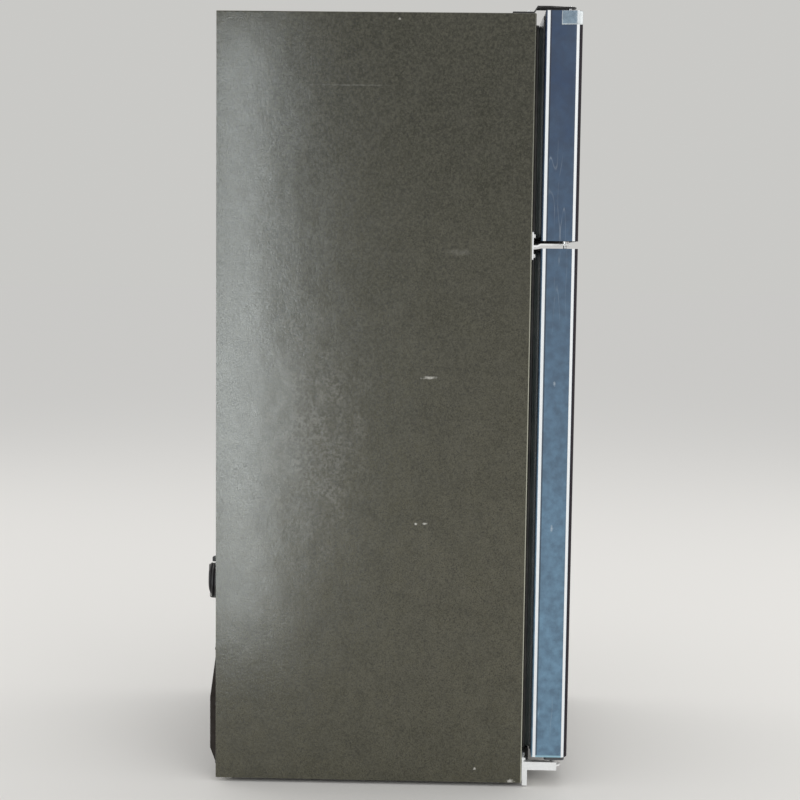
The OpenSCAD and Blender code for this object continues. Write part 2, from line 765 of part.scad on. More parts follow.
// Wire shelf: fore-and-aft wires welded on cross rods, all inside a bent frame
module freezer_shelf() {
    y0 = shelf_y[0] + 14;
    y1 = evaporator_y - 8;
    rods = 25;
    pitch = 2 * (shelf_x - 10) / rods;
    color("#e4e6e6") union() {
        for (y = [y0, (y0 + y1) / 2, y1])
            rod_x(-shelf_x + 2, shelf_x - 2, y, freezer_shelf_z, 3);
        for (i = [0 : rods])
            rod_y(y0 - 1, y1 + 1, -shelf_x + 10 + i * pitch, freezer_shelf_z + 3.5, 2);
    }
}

// Panel in front of the evaporator: return-air slots below, a fan grille above
module evaporator_cover() {
    x = liner_x - 1;
    z0 = freezer_floor + 1;
    z1 = freezer_ceiling - 1;
    color("#e8eaea") difference() {
        along_y(evaporator_y, freezer_back) soft_rect([-x, z0], [x, z1], liner_r);
        along_y(evaporator_y + 3, freezer_back + 1) soft_rect([-x + 3, z0 + 3], [x - 3, z1 - 3], liner_r - 3);
        for (i = [-7 : 7]) translate([i * 36 - 13, evaporator_y - 1, z0 + 12]) cube([26, 6, 10]);
        for (i = [-5 : 5])
            translate([-fan_slot(i), evaporator_y - 1, evaporator_fan_z + i * 10 - 2.5])
                cube([2 * fan_slot(i), 6, 5]);
    }
}
// Half the length of a grille slot, so that the slots fill a circle
function fan_slot(i) = sqrt(pow(58, 2) - pow(i * 10, 2));

// Finned coil: a tube that runs to and fro, with fins pressed on it
module evaporator_coil() {
    tube_r = 4;
    half_w = 225;
    row_z = [for (i = [0 : 5]) 1262 + 30 * i];
    y = freezer_back - 30;
    color("#b8bcbe") union() {
        for (z = row_z) rod_x(-half_w, half_w, y, z, tube_r);
        for (i = [0 : 4])
            translate([(i % 2 == 0 ? 1 : -1) * half_w, y, row_z[i] + 15])
                rotate([90, 0, 0]) rotate([0, 0, i % 2 == 0 ? -90 : 90])
                    rotate_extrude(angle = 180) translate([15, 0]) circle(tube_r);
        for (i = [0 : 14])
            translate([-210 + 30 * i, y - 16, 1250]) cube([1, 32, 174]);
        for (x = [-218, 216]) block([x, y - 16, 1250], [x + 2, freezer_back, 1424]);
    }
}

// Motor behind a fan: a can on a three-armed bracket, its shaft along the local +Z
module fan_motor(can_r, can_h, arm_r) {
    cylinder(h = can_h, r = can_r);
    translate([0, 0, can_h - 1]) cylinder(h = 9, r = 2.5);
    for (a = [30, 150, 270]) rotate([0, 0, a]) translate([0, -4, 0]) cube([arm_r, 8, 4]);
}

// Fan: hub, five pitched blades, bore for the shaft
module fan(r, hub_r, h) {
    difference() {
        union() {
            cylinder(h = h, r = hub_r);
            intersection() {
                cylinder(h = h, r = r);
                for (a = [0 : 72 : 288])
                    rotate([0, 0, a]) translate([0, 0, h / 2]) rotate([32, 0, 0])
                        translate([hub_r - 2, -h, -0.8]) cube([r, 2 * h, 1.6]);
            }
        }
        translate([0, 0, -1]) cylinder(h = h + 2, r = 2.5 + fit);
    }
}

module evaporator_fan_motor() {
    color("#3a3c40") translate([0, freezer_back, evaporator_fan_z]) rotate([90, 0, 0])
        fan_motor(20, 20, 60);
}
module evaporator_fan() {
    color("#d6d9da") translate([0, freezer_back - 24, evaporator_fan_z]) rotate([90, 0, 0])
        fan(50, 13, 16);
}

// Control housing under the ceiling, with a sloped front for the knob and a place for the lamp
module control_housing() {
    y1 = knob_y + 200;
    color("#eef0f0") difference() {
        along_x(-140, 140) polygon([
            [knob_y, fresh_ceiling], [knob_y, knob_z - 18], [knob_y + 24, knob_z - 34],
            [y1, knob_z - 34], [y1, fresh_ceiling]]);
        block([-100, knob_y + 60, knob_z - 35], [100, knob_y + 160, knob_z - 28]);
        rod_y(knob_y - 1, knob_y + 14, 0, knob_z, 3 + fit);
    }
}

module lamp_lens() {
    color("#f7f7ee") along_z(knob_z - 40, knob_z - 28) soft_rect([-99, knob_y + 61], [99, knob_y + 159], 8);
}

// Knob with a ribbed edge and a pointer ridge
module temperature_knob() {
    color("#f4f4f2") translate([0, knob_y - 0.5, knob_z]) rotate([90, 0, 0]) union() {
        difference() {
            cylinder(h = 12, r = 15);
            for (a = [0 : 24 : 336]) rotate([0, 0, a]) translate([15.6, 0, -1]) cylinder(h = 14, r = 1.6);
        }
        translate([-1.5, 2, 11]) cube([3, 12, 3]);
        translate([0, 0, -12]) cylinder(h = 13, r = 3);
    }
}

// ---- Machine compartment ----

// Welded can with domed ends, a seam, feet, a terminal box and two pipe stubs
module compressor() {
    can_r = 66;
    z0 = tray_z + 34;
    dome_r = 110;
    rise = dome_r - sqrt(pow(dome_r, 2) - pow(can_r, 2));
    color("#17181a") translate([compressor_x, compressor_y, 0]) difference() {
        union() {
            translate([0, 0, z0]) cylinder(h = 96, r = can_r);
            intersection() {
                translate([0, 0, z0 + 96 + rise - dome_r]) sphere(dome_r);
                translate([0, 0, z0 + 90]) cylinder(h = 60, r = can_r);
            }
            translate([0, 0, z0 + 52]) cylinder(h = 6, r = can_r + 3);
            translate([-88, -62, z0 - 4]) cube([176, 124, 4.5]);
            translate([-30, -can_r - 14, z0 + 12]) cube([60, 40, 46]);
            translate([40, 30, z0 + 60]) cylinder(h = 66, r = 4);
            translate([-40, 30, z0 + 60]) cylinder(h = 60, r = 4);
        }
        for (x = [-75, 75], y = [-52, 52]) translate([x, y, z0 - 6]) cylinder(h = 9, r = 6);
    }
}

module compressor_grommets() {
    color("#26282a") compressor_mounts() translate([0, 0, 1]) difference() {
        union() {
            cylinder(h = 30, r = 10);
            cylinder(h = 35, r = 5.8);
        }
        translate([0, 0, -1]) cylinder(h = 40, r = 4.2);
    }
}

// Condenser: a serpentine of tube through thin fins, held by two end plates that stand on the tray
module condenser_coil() {
    tube_r = 3.5;
    rows = 6;
    pitch = 30;
    fins = 22;
    x = [-302, -34];
    y = condenser_y;
    z0 = 88;
    z1 = z0 + (rows - 1) * pitch;
    color("#202224") union() {
        for (i = [0 : rows - 1]) rod_x(x[0], x[1], y, z0 + i * pitch, tube_r);
        for (i = [0 : rows - 2])
            translate([x[(i + 1) % 2], y, z0 + (i + 0.5) * pitch])
                rotate([90, 0, 0]) rotate([0, 0, i % 2 == 0 ? -90 : 90])
                    rotate_extrude(angle = 180) translate([pitch / 2, 0]) circle(tube_r);
        for (end = [x[0] + 4, x[1] - 6]) block([end, y - 20, tray_z], [end + 2, y + 20, z1 + 14]);
        for (i = [1 : fins])
            translate([x[0] + 6 + i * (x[1] - x[0] - 12) / (fins + 1), y - 16, z0 - 10])
                cube([0.8, 32, z1 - z0 + 20]);
    }
}

module condenser_fan_motor() {
    y = condenser_y;
    color("#3a3c40") union() {
        rod_x(fan_x + 14, fan_x + 40, y, fan_z, 20);
        rod_x(fan_x + 5, fan_x + 15, y, fan_z, 2.5);
        block([fan_x + 40, y - 14, tray_z], [fan_x + 42, y + 14, fan_z + 30]);
        block([fan_x + 42, y - 14, tray_z], [fan_x + 56, y + 14, tray_z + 2]);
    }
}
module condenser_fan() {
    color("#d6d9da") translate([fan_x + 12, condenser_y, fan_z]) rotate([0, -90, 0]) fan(58, 14, 18);
}

module drain_pan() {
    color("#4b4e52") difference() {
        along_z(tray_z, tray_z + 38) soft_rect([-292, room_y + 10], [-44, back_y - 16], 14);
        along_z(tray_z + 2, tray_z + 39) soft_rect([-290, room_y + 12], [-46, back_y - 18], 12);
    }
}

// ---- Rollers and feet ----

module rear_roller(x) {
    color("#dcdcd6") union() {
        rod_x(x - 9, x + 9, roller_y, roller_r, roller_r);
        rod_x(x - 14.5, x + 14.5, roller_y, roller_r, pin_r);
        rod_x(x - 11, x + 11, roller_y, roller_r, pin_r + 4);
    }
}
module rear_roller_left() { rear_roller(-roller_x); }
module rear_roller_right() { rear_roller(roller_x); }

// Screw foot: a round pad, a hexagon to turn it by and a stud through the bracket
module levelling_foot(x) {
    color("#3f4144") translate([x, foot_y, 0]) union() {
        cylinder(h = 5, r = 15);
        translate([0, 0, 5]) cylinder(h = 4, r1 = 15, r2 = 11);
        translate([0, 0, 9]) cylinder(h = 10, r = 9.5, $fn = 6);
        translate([0, 0, 19]) cylinder(h = 36, r = 5);
    }
}
module levelling_foot_left() { levelling_foot(-foot_x); }
module levelling_foot_right() { levelling_foot(foot_x); }

// ---- Power cord ----

// Moulded hook on the back panel; the coil hangs over its arm, behind the upturned tip
module cord_hook() {
    inner = coil_z + coil_r - coil_thick / 2;
    color("#2c2e30") union() {
        along_y(back_y, back_y + 2.2) soft_rect([coil_x - 11, inner - 22], [coil_x + 11, inner + 38], 5);
        along_y(back_y, half_d) soft_rect([coil_x - 6, inner - 9], [coil_x + 6, inner - 1], 3);
        along_y(half_d - 2, half_d) soft_rect([coil_x - 6, inner - 9], [coil_x + 6, inner + 10], 3);
        along_x(coil_x - 8, coil_x + 8) polygon([
            [back_y, inner + 16], [back_y + 24, inner + 18], [back_y + 24, inner + 27], [back_y, inner + 33]]);
    }
}

module cord_gland() {
    color("#1c1d1f") translate([coil_x - coil_r, cord_y, gland_z]) union() {
        cylinder(h = 3, r = 5.6);
        translate([0, 0, 3]) cylinder(h = 27, r1 = 5.4, r2 = cord_d / 2 + 0.8);
    }
}

// Tube of n sides along a list of points
function unit(v) = v / norm(v);
function heading(p, i) = unit(p[min(i + 1, len(p) - 1)] - p[max(i - 1, 0)]);
function ring(p, i, r, n) =
    let (along = heading(p, i), across = unit(cross(along, [0, 1, 0])), up = cross(along, across))
    [for (k = [0 : n - 1]) p[i] + r * (cos(360 * k / n) * across + sin(360 * k / n) * up)];

module tube(p, r, n) {
    last = len(p) - 1;
    points = [for (i = [0 : last]) each ring(p, i, r, n)];
    sides = [for (i = [0 : last - 1], k = [0 : n - 1])
        [i * n + k, i * n + (k + 1) % n, (i + 1) * n + (k + 1) % n, (i + 1) * n + k]];
    polyhedron(points, concat(
        [[for (k = [n - 1 : -1 : 0]) k]], sides, [[for (k = [0 : n - 1]) last * n + k]]));
}

module power_cord() {
    color("#1f2022") {
        tube(cord_rise, cord_d / 2, 10);
        tube(cord_tail, cord_d / 2, 10);
    }
}

module power_cord_coil() {
    color("#1f2022") translate([coil_x, cord_y - cord_d / 2, coil_z]) rotate([-90, 0, 0])
        rotate_extrude() translate([coil_r - coil_thick / 2, 0]) square([coil_thick, coil_depth]);
}

// Moulded plug, hanging with its blades down
module power_plug() {
    color("#1f2022") translate(plug_at) union() {
        translate([0, 0, -12]) cylinder(h = 12, r1 = 6.5, r2 = 4.4);
        translate([-13, -9, -40]) cube([26, 18, 28]);
        for (x = [-6.4, 6.4]) translate([x - 0.8, -3.2, -56]) cube([1.6, 6.4, 17]);
        translate([0, 6, -58]) cylinder(h = 19, r = 2.4);
    }
}

cabinet_wrapper();
back_panel();
cabinet_foam();
freezer_liner();
fresh_liner();
mullion_rail();
base_frame();
compressor_tray();
machine_cover();
base_grille();
top_hinge_plate();
middle_hinge_bracket();
bottom_hinge_bracket();
hinge_pins();
hinge_screws();
evaporator_cover();
evaporator_coil();
evaporator_fan_motor();
evaporator_fan();
freezer_shelf();
control_housing();
temperature_knob();
lamp_lens();
shelf_frames();
shelf_glasses();
crisper_cover_frame();
crisper_cover_glass();
humidity_slider_left();
humidity_slider_right();
crisper_left();
crisper_right();
compressor();
compressor_grommets();
condenser_coil();
condenser_fan_motor();
condenser_fan();
drain_pan();
rear_roller_left();
rear_roller_right();
levelling_foot_left();
levelling_foot_right();
freezer_door_skin();
freezer_door_end_caps();
freezer_door_foam();
freezer_door_liner();
freezer_door_gasket();
freezer_door_bins();
fresh_door_skin();
fresh_door_end_caps();
fresh_door_foam();
fresh_door_liner();
fresh_door_gasket();
fresh_door_bins();
dairy_box();
dairy_lid();
cord_hook();
cord_gland();
power_cord();
power_cord_coil();
power_plug();
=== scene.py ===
"""Finishes and fine pieces of a top freezer refrigerator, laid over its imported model.

Metres, +Z up, doors towards -Y, hinges on the -X side.
"""
import json
import math
import random

import bmesh
import bpy
from mathutils import Matrix, Vector


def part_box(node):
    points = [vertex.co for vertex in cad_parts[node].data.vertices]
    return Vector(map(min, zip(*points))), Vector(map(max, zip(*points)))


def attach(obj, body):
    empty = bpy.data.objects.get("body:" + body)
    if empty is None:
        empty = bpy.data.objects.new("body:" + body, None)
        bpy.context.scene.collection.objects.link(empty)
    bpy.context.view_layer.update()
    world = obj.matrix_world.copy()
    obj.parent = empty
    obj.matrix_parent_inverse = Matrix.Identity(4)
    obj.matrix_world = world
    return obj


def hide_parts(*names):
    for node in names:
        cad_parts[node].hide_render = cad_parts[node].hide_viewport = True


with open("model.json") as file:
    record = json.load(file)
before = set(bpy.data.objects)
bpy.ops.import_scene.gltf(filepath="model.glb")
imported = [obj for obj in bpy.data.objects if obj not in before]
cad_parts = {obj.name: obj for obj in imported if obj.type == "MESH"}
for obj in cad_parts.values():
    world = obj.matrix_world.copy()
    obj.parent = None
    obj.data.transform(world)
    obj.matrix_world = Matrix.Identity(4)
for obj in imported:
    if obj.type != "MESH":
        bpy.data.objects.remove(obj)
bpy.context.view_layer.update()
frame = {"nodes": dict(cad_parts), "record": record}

MM = 0.001
cabinet_low, cabinet_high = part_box("cabinet_wrapper")
side_x, face_y, back_y = cabinet_low.x, cabinet_low.y, cabinet_high.y
door_low, door_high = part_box("freezer_door_skin")
fresh_low, fresh_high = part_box("fresh_door_skin")
door_back_y = fresh_high.y


# ---- Camera and studio ----

CAMERA_TURN = (1.18, 5.21, 0.70)    # yaw, downward pitch and roll, in degrees
CAMERA_LENS = 67.5
CAMERA_FROM_SIDE = 3.2165
CAMERA_FROM_BACK = 0.4637
CAMERA_HEIGHT = 1.136


def make_camera():
    """Looks at the hinge side, turned and tipped a little."""
    yaw, pitch, roll = (math.radians(angle) for angle in CAMERA_TURN)
    forward = Vector((math.cos(pitch) * math.cos(yaw), math.cos(pitch) * math.sin(yaw),
                      -math.sin(pitch)))
    level = Vector((math.sin(yaw), -math.cos(yaw), 0))
    upright = level.cross(forward)
    right = level * math.cos(roll) + upright * math.sin(roll)
    up = upright * math.cos(roll) - level * math.sin(roll)
    data = bpy.data.cameras.new("camera")
    data.lens = CAMERA_LENS
    camera = bpy.data.objects.new("camera", data)
    bpy.context.collection.objects.link(camera)
    stand = Vector((side_x - CAMERA_FROM_SIDE, back_y - CAMERA_FROM_BACK,
                    cabinet_low.z + CAMERA_HEIGHT))
    turn = Matrix((right, up, -forward)).transposed()
    camera.matrix_world = Matrix.Translation(stand) @ turn.to_4x4()
    bpy.context.scene.camera = camera


make_camera()


# ---- Power cord ----

CORD_D = 6.5 * MM
COIL_CENTRE = Vector((-242, 378, 425)) * MM
COIL_R = 33 * MM
COIL_TURNS = 6.5

# Centre line before and after the coil, in millimetres
CORD_RISE = [(-275 + min(max(i - 3, 0), 3), 378, 320 + 10.25 * i) for i in range(9)]
CORD_RISE.append((-272, 378, 413))
CORD_TAIL = [
    (-206, 378, 413), (-206, 378, 402), (-206, 378, 395), (-206, 379, 389), (-206, 380, 383),
    (-206, 381, 377), (-206, 382, 371),
]
PLUG_AT = Vector(CORD_TAIL[-1]) * MM


def smooth_step(value):
    value = min(max(value, 0.0), 1.0)
    return value * value * (3 - 2 * value)


def coil_point(turn):
    """Three turns side by side towards the back, a step out, then the rest back over them."""
    whole = int(turn)
    part = turn - whole
    moved = smooth_step((part - 0.6) / 0.4)
    if whole < 3:
        row, layer = whole + moved, -0.5
    elif whole == 3:
        row, layer = 3 - moved, smooth_step(part / 0.17) - 0.5
    else:
        row, layer = 6 - whole - moved, 0.5
    radius = COIL_R + layer * CORD_D
    angle = math.pi - 2 * math.pi * turn
    return COIL_CENTRE + Vector((radius * math.cos(angle), row * CORD_D, radius * math.sin(angle)))


def cord_points():
    per_turn = 24
    coil = [coil_point(i / per_turn) for i in range(int(COIL_TURNS * per_turn) + 1)]
    return [Vector(p) * MM for p in CORD_RISE] + coil + [Vector(p) * MM for p in CORD_TAIL]


def make_cord():
    points = cord_points()
    data = bpy.data.curves.new("supply_cord", "CURVE")
    data.dimensions = "3D"
    data.bevel_depth = CORD_D / 2
    data.bevel_resolution = 5
    data.resolution_u = 4
    data.use_fill_caps = True
    spline = data.splines.new("BEZIER")
    spline.bezier_points.add(len(points) - 1)
    for knot, point in zip(spline.bezier_points, points):
        knot.co = point
        knot.handle_left_type = knot.handle_right_type = "AUTO"
    cord = bpy.data.objects.new("supply_cord", data)
    bpy.context.collection.objects.link(cord)
    length = sum((b - a).length for a, b in zip(points, points[1:]))
    return cord, length, points[0]


supply_cord, cord_length, cord_exit = make_cord()


# ---- Nodes: small helpers ----

def place(tree, kind, inputs=None, **settings):
    """New node; an input is a plain value or another node's output."""
    node = tree.nodes.new(kind)
    for name, value in settings.items():
        setattr(node, name, value)
    for name, value in (inputs or {}).items():
        socket = node.inputs[name]
        if isinstance(value, bpy.types.NodeSocket):
            tree.links.new(value, socket)
        elif socket.type == "RGBA" and len(value) == 3:
            socket.default_value = (*value, 1.0)
        else:
            socket.default_value = value
    return node


def calc(tree, operation, a, b=0.0, clamp=False):
    """Result of one sum on two values."""
    node = place(tree, "ShaderNodeMath", {0: a, 1: b}, operation=operation, use_clamp=clamp)
    return node.outputs[0]


def vector_calc(tree, operation, first, second=None, output=0):
    """Result of one sum on one or two vectors; lengths and products come out as Value."""
    inputs = {0: first} if second is None else {0: first, 1: second}
    return place(tree, "ShaderNodeVectorMath", inputs, operation=operation).outputs[output]


def remap(tree, value, low, high, to_low=0.0, to_high=1.0):
    """Even ramp from to_low, where the value is low, to to_high, where it is high."""
    inputs = {0: value, 1: low, 2: high, 3: to_low, 4: to_high}
    return place(tree, "ShaderNodeMapRange", inputs).outputs[0]


def band(tree, value, low, high, soft):
    """1 between low and high, fading out over the width called soft."""
    rise = remap(tree, value, low - soft, low)
    return calc(tree, "MULTIPLY", rise, remap(tree, value, high + soft, high))


def blend(tree, mask, a, b):
    """Colour a, and colour b where the mask is 1."""
    node = place(tree, "ShaderNodeMix", data_type="RGBA")
    for index, value in ((0, mask), (6, a), (7, b)):
        if isinstance(value, bpy.types.NodeSocket):
            tree.links.new(value, node.inputs[index])
        else:
            node.inputs[index].default_value = value if index == 0 else (*value[:3], 1.0)
    return node.outputs[2]


def spots(tree, where, scale, detail, roughness):
    """Cloudy noise about 0.5; scale counts its clouds along a metre."""
    inputs = {"Vector": where, "Scale": scale, "Detail": detail, "Roughness": roughness}
    return place(tree, "ShaderNodeTexNoise", inputs).outputs[0]


def object_place(tree):
    return place(tree, "ShaderNodeTexCoord").outputs["Object"]


def split(tree, vector):
    return place(tree, "ShaderNodeSeparateXYZ", {0: vector}).outputs


def stretch(tree, where, scale):
    """Place with each axis scaled, so that a pattern runs long where its scale is small."""
    return place(tree, "ShaderNodeMapping", {"Vector": where, "Scale": scale}).outputs[0]


# ---- Effects that several finishes share ----

EFFECTS = {}


def open_group(name, inputs, outputs):
    """New effect: its tree, the values given to it and the sockets of its result."""
    tree = bpy.data.node_groups.new(name, "ShaderNodeTree")
    for label, value in inputs.items():
        kind = "NodeSocketFloat" if isinstance(value, float) else "NodeSocketVector"
        tree.interface.new_socket(label, in_out="INPUT", socket_type=kind).default_value = value
    for label in outputs:
        tree.interface.new_socket(label, in_out="OUTPUT", socket_type="NodeSocketFloat")
    EFFECTS[name] = tree
    return tree, tree.nodes.new("NodeGroupInput").outputs, tree.nodes.new("NodeGroupOutput").inputs


def make_mottle():
    """Soft clouds in a finish, and finer clouds inside them."""
    tree, given, result = open_group("mottle", {"Scale": 6.0, "Contrast": 1.0}, ["Cloud", "Fine"])
    where = object_place(tree)
    fine_scale = calc(tree, "MULTIPLY", given["Scale"], 7.0)
    for label, scale in (("Cloud", given["Scale"]), ("Fine", fine_scale)):
        centred = calc(tree, "SUBTRACT", spots(tree, where, scale, 4.0, 0.6), 0.5)
        spread = calc(tree, "MULTIPLY", centred, calc(tree, "MULTIPLY", given["Contrast"], 2.4))
        tree.links.new(calc(tree, "ADD", spread, 0.5, clamp=True), result[label])


def make_pebble():
    """Small bumps of a textured coat or a moulded grain; Scale counts them along a metre."""
    tree, given, result = open_group("pebble", {"Scale": 600.0}, ["Height", "Pit"])
    where = object_place(tree)
    cells = place(tree, "ShaderNodeTexVoronoi", {"Vector": where, "Scale": given["Scale"]},
                  feature="SMOOTH_F1").outputs["Distance"]
    rough = spots(tree, where, calc(tree, "MULTIPLY", given["Scale"], 0.45), 3.0, 0.6)
    grain = calc(tree, "MULTIPLY", rough, 1.2)
    height = calc(tree, "SUBTRACT", grain, calc(tree, "MULTIPLY", cells, 0.7))
    tree.links.new(height, result["Height"])
    tree.links.new(remap(tree, cells, 0.35, 0.75), result["Pit"])


def make_edge_wear():
    """Rubbed edges, broken up along their length."""
    tree, given, result = open_group("edge_wear", {"Width": 0.002, "Amount": 0.5}, ["Mask"])
    rounded = place(tree, "ShaderNodeBevel", {"Radius": given["Width"]}, samples=4).outputs[0]
    flat = place(tree, "ShaderNodeNewGeometry").outputs["Normal"]
    turned = vector_calc(tree, "DOT_PRODUCT", rounded, flat, "Value")
    edge = remap(tree, turned, 0.992, 0.88)
    broken = remap(tree, spots(tree, object_place(tree), 45.0, 5.0, 0.7), 0.42, 0.62)
    ragged = calc(tree, "MULTIPLY", edge, broken)
    tree.links.new(calc(tree, "MULTIPLY", ragged, given["Amount"]), result["Mask"])


def make_scratches():
    """Hair scratches; Stretch squeezes the pattern so that they run along its small axis."""
    inputs = {"Stretch": (40.0, 40.0, 3.0), "Amount": 0.5}
    tree, given, result = open_group("scratches", inputs, ["Mask"])
    where = stretch(tree, object_place(tree), given["Stretch"])
    line = calc(tree, "ABSOLUTE", calc(tree, "SUBTRACT", spots(tree, where, 1.0, 1.0, 0.5), 0.5))
    kept = remap(tree, spots(tree, object_place(tree), 9.0, 3.0, 0.6), 0.52, 0.64)
    thin = calc(tree, "MULTIPLY", remap(tree, line, 0.006, 0.0), kept)
    tree.links.new(calc(tree, "MULTIPLY", thin, given["Amount"]), result["Mask"])


def make_dust():
    """Dust that lies on what faces up, and a thin film of it elsewhere."""
    tree, given, result = open_group("dust", {"Amount": 0.5, "Film": 0.1}, ["Mask"])
    up = split(tree, place(tree, "ShaderNodeTexCoord").outputs["Normal"])["Z"]
    lying = calc(tree, "MULTIPLY", remap(tree, up, 0.5, 0.95), given["Amount"])
    cloud = remap(tree, spots(tree, object_place(tree), 14.0, 6.0, 0.7), 0.35, 0.7)
    film = calc(tree, "MULTIPLY", given["Film"], cloud)
    settled = calc(tree, "MULTIPLY", lying, cloud)
    tree.links.new(calc(tree, "ADD", settled, film, clamp=True), result["Mask"])


def make_brushing():
    """Long fine lines of a brushed or rolled sheet, along the axis that Stretch leaves small."""
    tree, given, result = open_group("brushing", {"Stretch": (900.0, 900.0, 6.0)}, ["Line"])
    where = stretch(tree, object_place(tree), given["Stretch"])
    tree.links.new(spots(tree, where, 1.0, 4.0, 0.7), result["Line"])


def make_spangle():
    """Crystal flakes of a zinc coat: each flake has a tone of its own."""
    tree, given, result = open_group("spangle", {"Scale": 120.0}, ["Tone"])
    inputs = {"Vector": object_place(tree), "Scale": given["Scale"]}
    flakes = place(tree, "ShaderNodeTexVoronoi", inputs).outputs["Color"]
    tone = place(tree, "ShaderNodeSeparateColor", {0: flakes}).outputs[0]
    tree.links.new(tone, result["Tone"])


def make_mark():
    """A rubbed spot with a ragged rim."""
    inputs = {"Centre": (0.0, 0.0, 0.0), "Size": (0.1, 0.1, 0.1), "Grain": 60.0}
    tree, given, result = open_group("mark", inputs, ["Mask"])
    where = object_place(tree)
    away = vector_calc(tree, "SUBTRACT", where, given["Centre"])
    share = vector_calc(tree, "DIVIDE", away, given["Size"])
    reach = vector_calc(tree, "LENGTH", share, output="Value")
    ragged = calc(tree, "MULTIPLY", spots(tree, where, given["Grain"], 4.0, 0.7), 1.5)
    tree.links.new(remap(tree, calc(tree, "ADD", reach, ragged), 1.35, 0.75), result["Mask"])


for make_effect in (make_mottle, make_pebble, make_edge_wear, make_scratches, make_dust,
                    make_brushing, make_spangle, make_mark):
    make_effect()


class Finish:
    """One material: layers of colour, roughness and relief over the base of one shader."""

    def __init__(self, name, colour, roughness, metallic=0.0, **plain):
        self.material = bpy.data.materials.new(name)
        self.material.use_nodes = True
        self.tree = self.material.node_tree
        self.shader = self.tree.nodes["Principled BSDF"]
        self.colour, self.roughness, self.metallic = colour, roughness, metallic
        self.normal = None
        for name_with_bars, value in plain.items():
            self.shader.inputs[name_with_bars.replace("_", " ")].default_value = value

    def effect(self, name, **inputs):
        node = place(self.tree, "ShaderNodeGroup", node_tree=EFFECTS[name])
        for label, value in inputs.items():
            node.inputs[label].default_value = value
        return node.outputs

    def layer(self, mask, colour=None, roughness=None, metallic=None, amount=1.0):
        """Lays new values over the old ones where the mask is 1, weakened by the amount."""
        if amount != 1.0:
            mask = calc(self.tree, "MULTIPLY", mask, amount)
        if colour is not None:
            self.colour = blend(self.tree, mask, self.colour, colour)
        if roughness is not None:
            self.roughness = remap(self.tree, mask, 0.0, 1.0, self.roughness, roughness)
        if metallic is not None:
            self.metallic = remap(self.tree, mask, 0.0, 1.0, self.metallic, metallic)

    def relief(self, height, depth, strength=1.0):
        inputs = {"Height": height, "Distance": depth, "Strength": strength}
        if self.normal is not None:
            inputs["Normal"] = self.normal
        self.normal = place(self.tree, "ShaderNodeBump", inputs).outputs[0]

    def done(self):
        values = (("Base Color", self.colour), ("Roughness", self.roughness),
                  ("Metallic", self.metallic), ("Normal", self.normal))
        for name, value in values:
            socket = self.shader.inputs[name]
            if isinstance(value, bpy.types.NodeSocket):
                self.tree.links.new(value, socket)
            elif value is not None:
                socket.default_value = (*value, 1.0) if name == "Base Color" else value
        return self.material


def mixed(colour, amount, other):
    """Colour moved towards another by that amount."""
    return tuple(a + (b - a) * amount for a, b in zip(colour, other))


def scaled(colour, factor):
    """Colour made lighter or darker."""
    return tuple(min(c * factor, 1.0) for c in colour)


# ---- Finishes ----

DUST = (0.42, 0.4, 0.36)


def cabinet_paint():
    """Dark warm grey paint with a fine pebble, scuffed on the hinge side; painted light makes it lighter
    and greyer lower down, and a painted highlight runs along its front edge.
    """
    paint = Finish("cabinet_paint", (0.035, 0.0352, 0.0236), 0.19, Specular_IOR_Level=0.36)
    tree = paint.tree
    where = split(tree, object_place(tree))
    # Painted light: lighter and greyer lower down, where the floor's light reflects in the panel, darker
    # towards the top.
    paint.layer(remap(tree, where["Z"], 1.5, 0.55), (0.087, 0.082, 0.0545), 0.2)
    cloud = paint.effect("mottle", Scale=3.5, Contrast=1.1)
    paint.layer(cloud["Cloud"], (0.096, 0.092, 0.067), 0.27, amount=0.3)
    weave = paint.effect("mottle", Scale=26.0, Contrast=1.7)
    paint.layer(weave["Cloud"], (0.037, 0.036, 0.024), 0.26, amount=0.4)
    paint.layer(weave["Fine"], (0.112, 0.107, 0.078), 0.27, amount=0.55)
    pebble = paint.effect("pebble", Scale=480.0)
    paint.layer(pebble["Pit"], (0.01, 0.009, 0.007), 0.32, amount=0.7)
    grime = paint.effect("dust", Amount=0.3, Film=0.02)
    paint.layer(grime["Mask"], DUST, 0.8)
    patch = paint.effect("mark", Centre=(side_x, 0.17, 0.76), Size=(0.03, 0.24, 0.5), Grain=22.0)
    specks = paint.effect("mottle", Scale=21.0, Contrast=3.0)
    dusty = calc(tree, "MULTIPLY", patch["Mask"], specks["Fine"])
    paint.layer(dusty, DUST, 0.5, amount=0.17)
    for centre, size, grain, amount in CABINET_MARKS:
        rub = paint.effect("mark", Centre=(side_x, *centre), Size=(0.02, *size), Grain=grain)
        paint.layer(rub["Mask"], (0.62, 0.6, 0.55), 0.6, amount=amount)
    # Pale rubbed edges: partly real wear, partly a painted highlight along the bends.
    wear = paint.effect("edge_wear", Width=0.0015, Amount=0.55)
    paint.layer(wear["Mask"], (0.3, 0.29, 0.25), 0.4)
    # Painted highlight: a pale line along the side's front edge, where the bend catches the light, fainter
    # towards the top.
    inward = calc(tree, "ADD", calc(tree, "ABSOLUTE", where["X"]), side_x)
    side = remap(tree, inward, -0.8 * MM, -0.4 * MM)
    behind_face = calc(tree, "SUBTRACT", where["Y"], face_y)
    front_edge_highlight = calc(tree, "MULTIPLY", side, remap(tree, behind_face, 3.2 * MM, 1.8 * MM))
    highlight_brighter_low = remap(tree, where["Z"], 1.66, 0.9, 0.12, 0.9)
    paint.layer(calc(tree, "MULTIPLY", front_edge_highlight, highlight_brighter_low), (0.62, 0.61, 0.5), 0.35)
    paint.relief(pebble["Height"], 0.00008, 0.28)
    paint.relief(weave["Fine"], 0.00022, 0.25)
    paint.relief(cloud["Cloud"], 0.003, 0.3)
    return paint.done()


